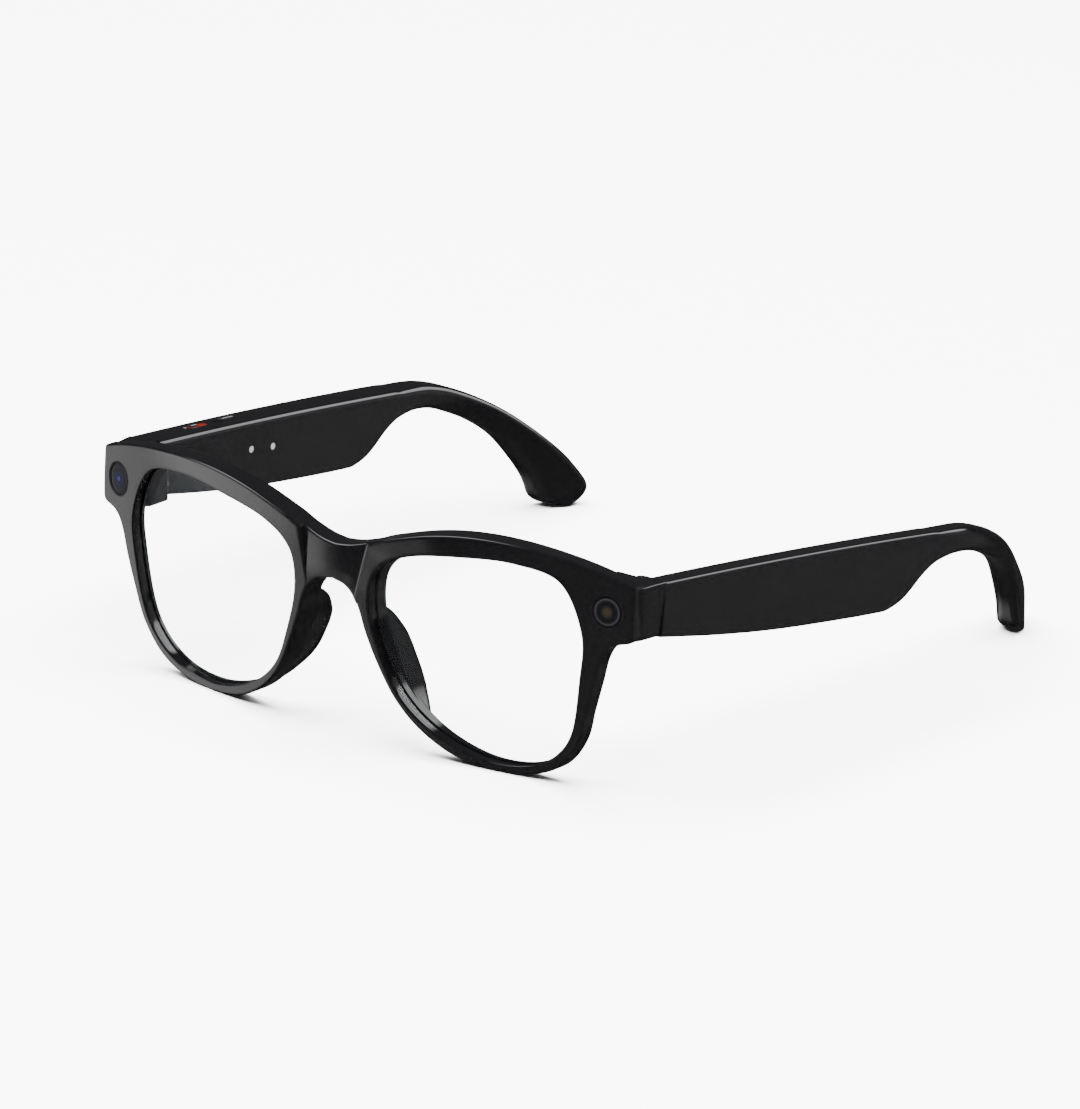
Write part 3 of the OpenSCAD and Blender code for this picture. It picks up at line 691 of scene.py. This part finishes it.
def make_boss(side, tag):
    """The fin behind the rim's nose edge that carries the pad, thinner towards its bottom and its rear."""
    edge = catmull(BOSS_EDGE, 6)[::-1]
    z = np.linspace(BOSS_LOW, BOSS_TOP, NOSE_STEPS)
    p, n = nose_edge(z)
    start = rear_y(p[:, 0], p[:, 1]) - BOSS_SUNK - PAD_Y
    reach = np.maximum(np.interp(z, edge[:, 1], edge[:, 0]), start + BOSS_R + 0.05)
    widest = BOSS_LOW_T + smooth_step((z - BOSS_GAIN_FROM) / BOSS_GAIN_RISE)
    rows = []

    def put(depth, share):
        thick = np.minimum(BOSS_T - BOSS_TAPER * (depth + 4), widest)
        rows.append(nose_point(p, n, depth, thick * share))

    steps = np.linspace(0, 1, 9)[:-1]
    for t in steps:
        put(start + (reach - BOSS_R - start) * t, 0.0)
    for a in np.linspace(-math.pi / 2, math.pi / 2, 11):
        put(reach - BOSS_R + BOSS_R * math.cos(a), 0.5 + 0.5 * math.sin(a))
    for t in steps[::-1]:
        put(start + (reach - BOSS_R - start) * t, 1.0)
    front_piece("nose_boss_" + tag, rows, bar_faces(len(rows), NOSE_STEPS), side)


def pad_reach(z):
    """Least and greatest depth of the pad's outline at each height."""
    outline = catmull(PAD_POINTS, 8, closed=True)
    outline = np.vstack([outline, outline[:1]])
    low, high = [], []
    for level in z:
        hits = []
        for a, b in zip(outline[:-1], outline[1:]):
            if (a[1] - level) * (b[1] - level) <= 0 and a[1] != b[1]:
                hits.append(a[0] + (b[0] - a[0]) * (level - a[1]) / (b[1] - a[1]))
        low.append(min(hits))
        high.append(max(hits))
    return np.array(low), np.array(high)


def make_pad(side, tag):
    """Soft ribbed pad: a cushion on the boss with long grooves."""
    heights = catmull(PAD_POINTS, 8, closed=True)[:, 1]
    z = np.linspace(heights.min() + 0.03, heights.max() - 0.03, NOSE_STEPS)
    low, high = pad_reach(z)
    p, n = nose_edge(z)
    end = np.clip(np.minimum(z - z[0], z[-1] - z) / PAD_SOFT_Z, 0, 1)
    base = np.full(NOSE_STEPS, PAD_BASE)
    rows = [nose_point(p, n, low, base)]
    for t in np.linspace(0, 1, PAD_STEPS):
        depth = low + (high - low) * t
        rim = np.clip(np.minimum(depth - low, high - depth) / PAD_SOFT_DEPTH, 0, 1)
        edge = np.sqrt(1 - (1 - np.minimum(rim, end)) ** 2)
        groove = np.zeros(NOSE_STEPS)
        for k in range(GROOVES):
            middle = GROOVE_FIRST + GROOVE_PITCH * k
            groove = groove + GROOVE_DEEP * np.exp(-((depth - middle) / GROOVE_WIDE) ** 2)
        height = PAD_PROUD * edge - groove * np.minimum(edge, 1)
        rows.append(nose_point(p, n, depth, PAD_SINK - height))
    rows.append(nose_point(p, n, high, base))
    faces = bar_faces(len(rows), NOSE_STEPS)
    node = "nose_pad_" + tag
    pad = mesh_object(node + "_ribbed", np.vstack(rows), faces, "front", RUBBER, side)
    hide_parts(node)


# ---------- lenses and discs ----------

LENS_STEPS = 160
# Depth of the lens's two faces behind the front's face, and how far its edge reaches into the groove
LENS_FRONT, LENS_REAR, LENS_IN_GROOVE = 1.3, 2.8, 0.3
# Profiles from the disc's middle outwards: (radius, height above the face)
RING_PROFILE = [
    (3.46, -1.0), (3.46, -0.2), (3.49, -0.1), (3.54, -0.04), (3.6, -0.02), (3.66, -0.04), (3.71, -0.1),
    (3.74, -0.2), (3.74, -1.1)]
DOME_PROFILE = [
    (0.05, -0.08), (0.9, -0.083), (1.8, -0.1), (2.6, -0.14), (3.2, -0.2), (3.44, -0.28), (3.44, -0.9)]


def make_lens(side, tag):
    """A lens with both faces curved as the front's face is."""
    angles = np.linspace(0, 2 * math.pi, LENS_STEPS, endpoint=False)
    edge = lens_loop(angles, LENS_IN_GROOVE)
    rows = []
    shares = np.linspace(0.02, 1, 14)
    for depth, order in ((LENS_FRONT, shares), (LENS_REAR, shares[::-1])):
        for share in order:
            xz = LENS_CENTRE + (edge - LENS_CENTRE) * share
            rows.append(np.stack([xz[:, 0], face_y(xz[:, 0], xz[:, 1]) + depth, xz[:, 1]], 1))
    faces = tube_faces(len(rows), LENS_STEPS)
    lens = mesh_object("lens_" + tag + "_curved", np.vstack(rows), faces, "front", LENS, side)
    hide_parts("lens_" + tag)


def make_disc(side, kind, glass):
    """Bezel ring and domed window over the camera or the light."""
    faces = ring_faces(len(RING_PROFILE), TURN_STEPS, close_rows=True)
    bezel = mesh_object(kind + "_ring", disc_verts(RING_PROFILE), faces, "front", BEZEL, side)
    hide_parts(kind + "_bezel")
    faces = tube_faces(len(DOME_PROFILE), TURN_STEPS)
    glass_slot = kind + "_glass"
    window = mesh_object(glass_slot, disc_verts(DOME_PROFILE), faces, "front", glass, side)
    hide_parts(kind + "_window")


def disc_centre(side):
    """Middle of a disc's face, in metres."""
    y = float(face_y(np.array(DISC_X), np.array(DISC_Z)))
    return (side * DISC_X * MM, y * MM, DISC_Z * MM)


BEZEL = surface("bezel_black", (0.003, 0.003, 0.004), (0.006, 0.006, 0.007), (0.14, 0.24), 900, bump=0.05,
                specular=0.22)
# The bright blue middle of these rings is a painted glint of the lens behind the glass
CAMERA_GLASS_PAINTED_GLINT = disc_glass_material("camera_glass", disc_centre(-1), [
    (0.0, (0.004, 0.004, 0.016)), (0.1, (0.009, 0.009, 0.045)), (0.15, (0.003, 0.003, 0.016)),
    (0.24, (0.0015, 0.0015, 0.005)),
    (0.42, (0.0025, 0.003, 0.008)), (0.5, (0.001, 0.001, 0.002)), (0.7, (0.003, 0.003, 0.004)),
    (0.95, (0.001, 0.001, 0.0015))])
LIGHT_GLASS = disc_glass_material("light_glass", disc_centre(1), [
    (0.0, (0.009, 0.007, 0.0055)), (0.2, (0.008, 0.0065, 0.005)), (0.36, (0.003, 0.003, 0.003)),
    (0.5, (0.0015, 0.0015, 0.002)), (0.66, (0.003, 0.003, 0.0035)), (0.76, (0.01, 0.01, 0.012)),
    (0.82, (0.002, 0.002, 0.0025)), (0.95, (0.001, 0.001, 0.001))])


# ---------- temples ----------

# Temple in side view as (distance from the hinge, height): the hook's rear and front edge, and the bottom of
# the deep part
HOOK_REAR = [
    (84, 35.44), (89.4, 34.8), (93.9, 34.1), (98.4, 32.8), (102.5, 31.1), (107.7, 28.4), (112.7, 25.2),
    (117.6, 21.3), (122.4, 16.9), (126.5, 12.6), (129.2, 9), (131, 6), (131.4, 3.8), (130.4, 1.8),
    (128.4, 0.7), (126.5, 0.3)]
HOOK_FRONT = [
    (126.5, 0.3), (124.6, 0.5), (122.8, 1.5), (121.5, 3.5), (120, 7.5), (117.4, 12.1), (114, 17),
    (110.7, 20.2), (106.8, 22.9), (102.8, 25), (98.8, 26.8), (95, 28.2), (91.9, 28.9), (88.4, 29.3),
    (85.2, 29.2), (81.9, 28.6), (78.4, 27), (75.4, 25), (72.4, 23.3), (69.4, 22.4), (66.8, 22)]
BOTTOM_EDGE = [(66.8, 22), (55.8, 23.3), (34, 26.4), (15.5, 29.8), (-2.55, 33.8)]
# Shares of the way along the temple, and the places that a cross-section's top and bottom end pass at them;
# the last share is the hook's tip
KEY_SHARE = [0, 0.42, 0.54, 0.65, 0.76, 0.855, 0.915, 0.96, 1]
KEY_TOP = [
    (-1.15, 45.35), (66.8, 38), (84, 35.44), (101, 31.8), (114, 24.2), (123, 16.3), (128, 10.8), (131, 6)]
KEY_LOW = [
    (-2.55, 33.8), (66.8, 22), (85.2, 29.2), (98.8, 26.8), (110.7, 20.2), (117.4, 12.1), (120, 7.5),
    (121.5, 3.5)]
# The hook's bend in plan, half the temple's thickness, and the tip beyond the bend: where its outer side
# starts to turn in, where it ends, and how far inwards of the middle line that is
BEND_START, BEND_R, BEND = 88.4, 54.4, math.radians(28)
HALF_T = 3.3
TIP_FROM, TIP_TO, TIP_SIDE = 10.0, 21.5, 2.8
STATIONS = 190
# Top edge: height at the hinge, crown above a straight line and the length that the crown spans
TOP_Z, CROWN, CROWN_RUN = 45.35, 0.55, 90
# Roundings at the front, how much they grow towards the hook, and where the hook's section takes over
TOP_IN_R, EDGE_R, TOP_IN_GROW, EDGE_GROW = 1.4, 0.7, 0.8, 1.7
HOOK_FROM, HOOK_RUN = 78, 30
# The top slants down to its inner edge by this much; the seam's end face has this small chamfer
TOP_SLANT, END_CHAMFER = 0.4, 0.12
# Room for the hinge in the end face, as low and high corner: (along, x, z)
HINGE_ROOM = ((-6, -2, 35.2), (2.3, 2.52, 44.8))
# Speaker slot in the bottom edge: place along, height, length and width, lowest and highest cut
SPEAKER_S, SPEAKER_Z, SPEAKER_LONG, SPEAKER_WIDE, SPEAKER_CUT = 59.5, 22.85, 8, 1.6, (-2, 2.4)
# Slots in the right temple's top: length, width, and height of their floor from the top
SWITCH_SLOT, BUTTON_SLOT = (6.2, 1.9, -0.7), (5.3, 1.9, -3)
LIGHT_HOLE, MIC_HOLE = (0.9, 0.9, -3), (0.8, 0.8, -3)
# Their cutters reach this far above the top
ABOVE_TOP = 1.5


def temple_top(s):
    """Height of the straight part's top edge."""
    return TOP_Z - s * FALL + 4 * CROWN * s * (CROWN_RUN - s) / CROWN_RUN ** 2


def temple_pitch(s):
    """Angle at which the top falls to the rear."""
    return math.atan(FALL - 4 * CROWN * (CROWN_RUN - 2 * s) / CROWN_RUN ** 2)


def plan_sides():
    """Inner and outer boundary of the temple's plan, as (along, x) rows."""
    def at(a, side):
        x = MID_X - BEND_R * (1 - math.cos(a)) + side * math.cos(a)
        return BEND_START + (BEND_R + side) * math.sin(a), x

    def tip(run, side):
        s, x = at(BEND, side)
        return s + run * math.cos(BEND), x - run * math.sin(BEND)

    bend = np.linspace(0, BEND, 15)
    inner = [(-5, MID_X - HALF_T)] + [at(a, -HALF_T) for a in bend] + [tip(TIP_TO, -TIP_SIDE)]
    outer = [(-5, MID_X + HALF_T)] + [at(a, HALF_T) for a in bend]
    for a in np.linspace(0, math.pi / 2, 24):
        side = (HALF_T - 0.2 + TIP_SIDE) * math.cos(a) - TIP_SIDE
        outer.append(tip(TIP_FROM + (TIP_TO - TIP_FROM) * math.sin(a), side))
    return np.array(inner), np.array(outer)


PLAN_IN, PLAN_OUT = plan_sides()


def along(path, keys, u):
    """Points of a path at u from 0 to 1, which passes each key point at its share."""
    run = np.concatenate([[0], np.cumsum(np.linalg.norm(np.diff(path, axis=0), axis=1))])
    stops = [run[np.argmin(np.linalg.norm(path - k, axis=1))] for k in keys] + [run[-1]]
    at = np.interp(u, KEY_SHARE, stops)
    return np.stack([np.interp(at, run, path[:, k]) for k in range(2)], 1)


def temple_contours(u):
    """Points of the top and of the bottom edge at shares u of the temple's length."""
    straight = np.linspace(FRONT_S, 83, 60)
    top = np.vstack([np.stack([straight, temple_top(straight)], 1), catmull(HOOK_REAR, 8)])
    low = np.vstack([catmull(HOOK_FRONT, 8), catmull(BOTTOM_EDGE, 12)[1:]])[::-1]
    return along(top, KEY_TOP, u), along(low, KEY_LOW, u)


def station_shares():
    """Shares of the length at which the sections lie, closer together towards the seam and the tip."""
    u = np.linspace(0, 1, STATIONS)
    return 0.5 * (u + (1 - np.cos(u * math.pi)) / 2)


def plan_range(s, inset_in, inset_out):
    """Inner and outer x of the temple at a place along it, each drawn in, but never past the middle."""
    x_in = np.interp(s, PLAN_IN[:, 0], PLAN_IN[:, 1])
    x_out = np.interp(s, PLAN_OUT[:, 0], PLAN_OUT[:, 1])
    most = max(x_out - x_in, 0.02) * 0.49
    return x_in + min(inset_in, most), x_out - min(inset_out, most)


def temple_section(top, low, r_top_in, r, slant, chamfer=0.0):
    """Points (s, x, z) round one cross-section of the temple, between its top and bottom points.

    It is rounded by r_top_in at the top's inner edge and by r at the others, and drawn in by chamfer."""
    span = np.linalg.norm(low - top)
    direction = (low - top) / max(span, 1e-6)
    x_in, x_out = plan_range(top[0], 0, 0)
    limit = 0.46 * min(span, max(x_out - x_in, 0.05))
    r_top_in, r = min(r_top_in, limit), min(r, limit)
    slant = min(slant, span * 0.1)
    points = []

    def put(distance, share, inset_in, inset_out):
        s, z = top + direction * distance
        x_low, x_high = plan_range(s, inset_in, inset_out)
        points.append((s, x_low + (x_high - x_low) * share, z))

    def round_edge(from_top, radius, share, arc):
        for a in arc:
            inset = chamfer + radius * (1 - math.cos(a))
            put(from_top(radius * (1 - math.sin(a))), share, inset, inset)

    arc = np.linspace(0, math.pi / 2, 7)
    round_edge(lambda depth: slant + depth, r_top_in, 0, arc)
    for k in range(1, 8):
        put(slant * (1 - k / 8) ** 1.2, k / 8, r_top_in + chamfer, r + chamfer)
    round_edge(lambda depth: depth, r, 1, arc[::-1])
    for k in range(1, 16):
        put(r + (span - 2 * r) * k / 16, 1, chamfer, chamfer)
    round_edge(lambda depth: span - depth, r, 1, arc)
    for k in range(1, 8):
        put(span, 1 - k / 8, chamfer + r, chamfer + r)
    round_edge(lambda depth: span - depth, r, 0, arc[::-1])
    for k in range(1, 16):
        put(span - r - (span - r - slant - r_top_in) * k / 16, 0, chamfer, chamfer)
    return points


def temple_world(points):
    """(along, x, z) places of the temple's own frame in the CAD's frame."""
    p = np.asarray(points, float)
    c, s = math.cos(FLARE), math.sin(FLARE)
    return np.stack([PIVOT[0] + p[:, 1] * c + p[:, 0] * s, PIVOT[1] - p[:, 1] * s + p[:, 0] * c, p[:, 2]], 1)


def temple_box(side, low, high):
    """A box cutter in the temple's own frame, from (along, x, z) to (along, x, z)."""
    corners = [(s, x, z) for s in (low[0], high[0]) for x in (low[1], high[1]) for z in (low[2], high[2])]
    faces = [(0, 1, 3, 2), (4, 6, 7, 5), (0, 4, 5, 1), (2, 3, 7, 6), (0, 2, 6, 4), (1, 5, 7, 3)]
    return cutter_object(temple_world(corners), faces, side)


def stadium_row(place, length, wide, height, inset=0.0, shift=0.0, steps=48):
    """Outline with round ends, lying along the temple, at a height above a place (s, x, z, pitch)."""
    s, x, z, pitch = place
    straight = (length - wide) / 2
    r = wide / 2 - inset
    row = []
    for k in range(steps):
        a = 2 * math.pi * k / steps
        along_s = math.sin(a) * r + math.copysign(straight, math.sin(a)) + shift
        row.append((s + along_s * math.cos(pitch) + height * math.sin(pitch), x + math.cos(a) * r,
                    z - along_s * math.sin(pitch) + height * math.cos(pitch)))
    return row


def slot_cutter(side, place, length, wide, low, high):
    """A cutter with round ends from low to high, as heights above its place."""
    verts = stadium_row(place, length, wide, low) + stadium_row(place, length, wide, high)
    return cutter_object(temple_world(verts), tube_faces(2, len(verts) // 2), side)


def top_place(s, x):
    """A place on the temple's top, with the pitch of the top there."""
    return s, x, float(temple_top(s)), temple_pitch(s)


def top_cutter(s, x, slot):
    """A cutter for a slot in the right temple's top, which starts just above it."""
    length, wide, low = slot
    return slot_cutter(-1, top_place(s, x), length, wide, low, ABOVE_TOP)


def make_temple(side, tag):
    """One temple with its ear hook: a loft along it, with room for the hinge and the slots cut out."""
    top, low = temple_contours(station_shares())
    rows = []
    for k in range(STATIONS):
        s = (top[k][0] + low[k][0]) / 2
        hook = float(smooth_step((s - HOOK_FROM) / HOOK_RUN))
        r_top_in = TOP_IN_R + TOP_IN_GROW * hook
        r = EDGE_R + EDGE_GROW * hook
        if k == 0:
            rows.append(temple_section(top[0], low[0], r_top_in, r, TOP_SLANT, END_CHAMFER))
        rows.append(temple_section(top[k], low[k], r_top_in, r, TOP_SLANT * (1 - hook)))
    verts = temple_world(np.vstack([np.array(row) for row in rows]))
    faces = tube_faces(len(rows), len(rows[0]))
    body = "temple_" + tag
    temple = mesh_object(body + "_body", verts, faces, body, GLOSS, side)
    speaker_place = (SPEAKER_S, MID_X, SPEAKER_Z, math.atan(FALL))
    cutters = [temple_box(side, *HINGE_ROOM),
               slot_cutter(side, speaker_place, SPEAKER_LONG, SPEAKER_WIDE, *SPEAKER_CUT)]
    if side < 0:
        cutters += [top_cutter(SWITCH_S, SLOT_X, SWITCH_SLOT), top_cutter(BUTTON_S, SLOT_X, BUTTON_SLOT),
                    top_cutter(LIGHT_S, HOLE_X, LIGHT_HOLE), top_cutter(MIC_S, HOLE_X, MIC_HOLE)]
    cut(temple, cutters)
    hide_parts(body + "_shell")
    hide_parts(body + "_cover")


# ---------- controls ----------

# Bars on the top: length and width, lowest and highest place, shift along the slot
SLIDER, SLIDER_SPAN, SLIDER_SHIFT = (2.6, 1.3), (-0.4, 0.06), -1.3
# The slider's and the button's light strips are painted highlight lines
SLIDER_HIGHLIGHT, SLIDER_HIGHLIGHT_SPAN, SLIDER_HIGHLIGHT_SHIFT = (1.9, 0.22), (0.0, 0.09), -1.1
INLAY, INLAY_SPAN = (6.15, 1.85), (-0.68, -0.22)
BUTTON_HIGHLIGHT, BUTTON_HIGHLIGHT_SPAN, BUTTON_HIGHLIGHT_SHIFT = (3.6, 0.22), (0.04, 0.13), 0.5
BAR_STEPS, BAR_SOFT = 40, 0.12
# Charging contacts on the inner face: places along and up, profile (radius, height above the face)
CONTACT_PLACES = ((32.3, 35.2), (39.6, 34))
CONTACT_PROFILE = [(0.03, 0.1), (0.35, 0.095), (0.62, 0.06), (0.78, -0.02), (0.8, -0.3)]
CONTACT_STEPS = 48


def top_bar(name, place, size, span, body, material, shift=0.0):
    """A flat rounded bar lying on the right temple's top, with softened upper edges."""
    low, high = span
    soft = min(BAR_SOFT, (high - low) / 2)
    levels = ((low, 0), (high - soft, 0), (high - soft * 0.3, soft * 0.3), (high, soft))
    rows = [stadium_row(place, *size, h, inset, shift, BAR_STEPS) for h, inset in levels]
    verts = temple_world(np.vstack([np.array(row) for row in rows]))
    return mesh_object(name, verts, tube_faces(len(rows), BAR_STEPS), body, material, -1)


def make_contact(number, s, z):
    """A domed charging contact on the right temple's inner face."""
    turn = np.linspace(0, 2 * math.pi, CONTACT_STEPS, endpoint=False)
    verts = [(s + r * math.cos(a), INNER_X - h, z + r * math.sin(a))
             for r, h in CONTACT_PROFILE for a in turn]
    faces = tube_faces(len(CONTACT_PROFILE), CONTACT_STEPS)
    contact = mesh_object(f"contact_{number}", temple_world(verts), faces, "temple_right", CONTACT,
                          -1)
    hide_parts("charge_contacts")


def make_controls():
    """Slide switch, its red floor and painted highlight strip, the contacts, and the capture button's painted
    highlight strip.
    """
    switch, button = top_place(SWITCH_S, SLOT_X), top_place(BUTTON_S, SLOT_X)
    slider = top_bar("slider", switch, SLIDER, SLIDER_SPAN, "power_switch", SATIN,
                     SLIDER_SHIFT)
    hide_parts("power_switch")
    top_bar("slider_painted_highlight", switch, SLIDER_HIGHLIGHT, SLIDER_HIGHLIGHT_SPAN, "power_switch", PAINTED_HIGHLIGHT,
            SLIDER_HIGHLIGHT_SHIFT)
    inlay = top_bar("red_floor", switch, INLAY, INLAY_SPAN, "temple_right", RED)
    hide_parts("switch_inlay")
    for number, (s, z) in enumerate(CONTACT_PLACES):
        make_contact(number, s, z)
    top_bar("button_painted_highlight", button, BUTTON_HIGHLIGHT, BUTTON_HIGHLIGHT_SPAN, "capture_button", PAINTED_HIGHLIGHT,
            BUTTON_HIGHLIGHT_SHIFT)


# ---------- assembly ----------

for side_sign, side_name in ((1, "left"), (-1, "right")):
    make_rim(side_sign, side_name)
    make_endpiece(side_sign, side_name)
    make_endpiece_wall(side_sign, side_name)
    make_boss(side_sign, side_name)
    make_pad(side_sign, side_name)
    make_lens(side_sign, side_name)
    make_temple(side_sign, side_name)
make_bridge()
make_controls()
make_disc(-1, "camera", CAMERA_GLASS_PAINTED_GLINT)
make_disc(1, "light", LIGHT_GLASS)


# ---------- stage, camera and lights ----------

FLOOR_HALF = 6
CAMERA_AT = (1.5567, -1.8406, 0.8335)
CAMERA_RIGHT, CAMERA_AHEAD = (0.7619, 0.6476, 0.0), (-0.6137, 0.7220, -0.3195)
SENSOR_HEIGHT, FOCAL_LENGTH = 36.0, 389.2
OVERHEAD_AT, OVERHEAD_SIZE, OVERHEAD_POWER = (0.0, -0.1, 1.6), (2.4, 2.0), 430
WORLD_BASE = 0.035
# Direction of each card, angles in degrees where it is full and where it ends, strength
WORLD_CARDS = [
    ((-0.94, -0.38, -0.32), 14, 36, 1.15),
    ((-0.80, -0.60, -0.08), 7, 13, 0.9),
    ((0.62, 0.72, -0.32), 12, 28, 0.16),
    ((0.33, 0.72, 0.61), 17, 22, 3.6),
    ((0.65, 0.72, 0.20), 8, 24, 0.3),
    ((0.0, -0.9, -0.7), 10, 40, 0.12),
    ((-0.61, -0.32, 0.72), 9, 19, 4.5),
    ((-0.525, -0.84, -0.16), 3.4, 4.2, 0.45),
    ((-0.545, -0.80, -0.25), 3.4, 4.2, 0.3),
]


def make_floor():
    """Plain pale floor that the gloss doesn't reflect."""
    corners = [(x * FLOOR_HALF, y * FLOOR_HALF, 0) for x, y in ((-1, -1), (1, -1), (1, 1), (-1, 1))]
    mesh = bpy.data.meshes.new("floor")
    mesh.from_pydata(corners, [], [(0, 1, 2, 3)])
    floor = bpy.data.objects.new("floor", mesh)
    bpy.context.scene.collection.objects.link(floor)
    mat, _, shader = new_material("floor_white")
    shader.inputs["Base Color"].default_value = (0.9, 0.9, 0.9, 1)
    shader.inputs["Roughness"].default_value = 0.8
    shader.inputs["Specular IOR Level"].default_value = 0.2
    floor.data.materials.append(mat)
    floor.visible_glossy = False
    floor.visible_shadow = False


def make_camera():
    """Long lens, far off in front of the glasses, above them and to the wearer's left."""
    data = bpy.data.cameras.new("camera")
    camera = bpy.data.objects.new("camera", data)
    bpy.context.scene.collection.objects.link(camera)
    right = Vector(CAMERA_RIGHT).normalized()
    ahead = Vector(CAMERA_AHEAD).normalized()
    up = right.cross(ahead)
    m = Matrix((right, up, -ahead)).transposed().to_4x4()
    m.translation = Vector(CAMERA_AT)
    camera.matrix_world = m
    data.sensor_fit = "VERTICAL"
    data.sensor_height = SENSOR_HEIGHT
    data.lens = FOCAL_LENGTH
    data.clip_start = 0.05
    data.clip_end = 50
    bpy.context.scene.camera = camera


def make_overhead():
    """Wide soft light above, kept out of the gloss, where the world's cards take its place."""
    data = bpy.data.lights.new("overhead", "AREA")
    data.shape = "RECTANGLE"
    data.size, data.size_y = OVERHEAD_SIZE
    data.energy = OVERHEAD_POWER
    light = bpy.data.objects.new("overhead", data)
    bpy.context.scene.collection.objects.link(light)
    light.location = OVERHEAD_AT
    light.rotation_euler = (Vector((0, 0, 0)) - Vector(OVERHEAD_AT)).to_track_quat("-Z", "Y").to_euler()
    light.visible_glossy = False


def add_card(tree, direction, inner, outer, strength, base):
    """A soft round card of light in the world, fading between two angles about a direction, added to base."""
    coord = tree.nodes.new("ShaderNodeTexCoord")
    dot = tree.nodes.new("ShaderNodeVectorMath")
    dot.operation = "DOT_PRODUCT"
    dot.inputs[1].default_value = Vector(direction).normalized()
    tree.links.new(coord.outputs["Generated"], dot.inputs[0])
    full, end = math.cos(math.radians(inner)), math.cos(math.radians(outer))
    card = remap(tree, dot.outputs["Value"], 0.0, strength, end, full)
    total = tree.nodes.new("ShaderNodeMath")
    total.operation = "ADD"
    tree.links.new(card, total.inputs[0])
    if isinstance(base, float):
        total.inputs[1].default_value = base
    else:
        tree.links.new(base, total.inputs[1])
    return total.outputs["Value"]


def make_world():
    """Dim studio with soft round cards of light that the gloss mirrors."""
    world = bpy.data.worlds.new("studio")
    bpy.context.scene.world = world
    world.use_nodes = True
    tree = world.node_tree
    light = WORLD_BASE
    for direction, inner, outer, strength in WORLD_CARDS:
        light = add_card(tree, direction, inner, outer, strength, light)
    tree.links.new(light, tree.nodes["Background"].inputs["Strength"])
    tree.nodes["Background"].inputs["Color"].default_value = (1, 1, 1, 1)


make_floor()
make_camera()
make_world()
make_overhead()
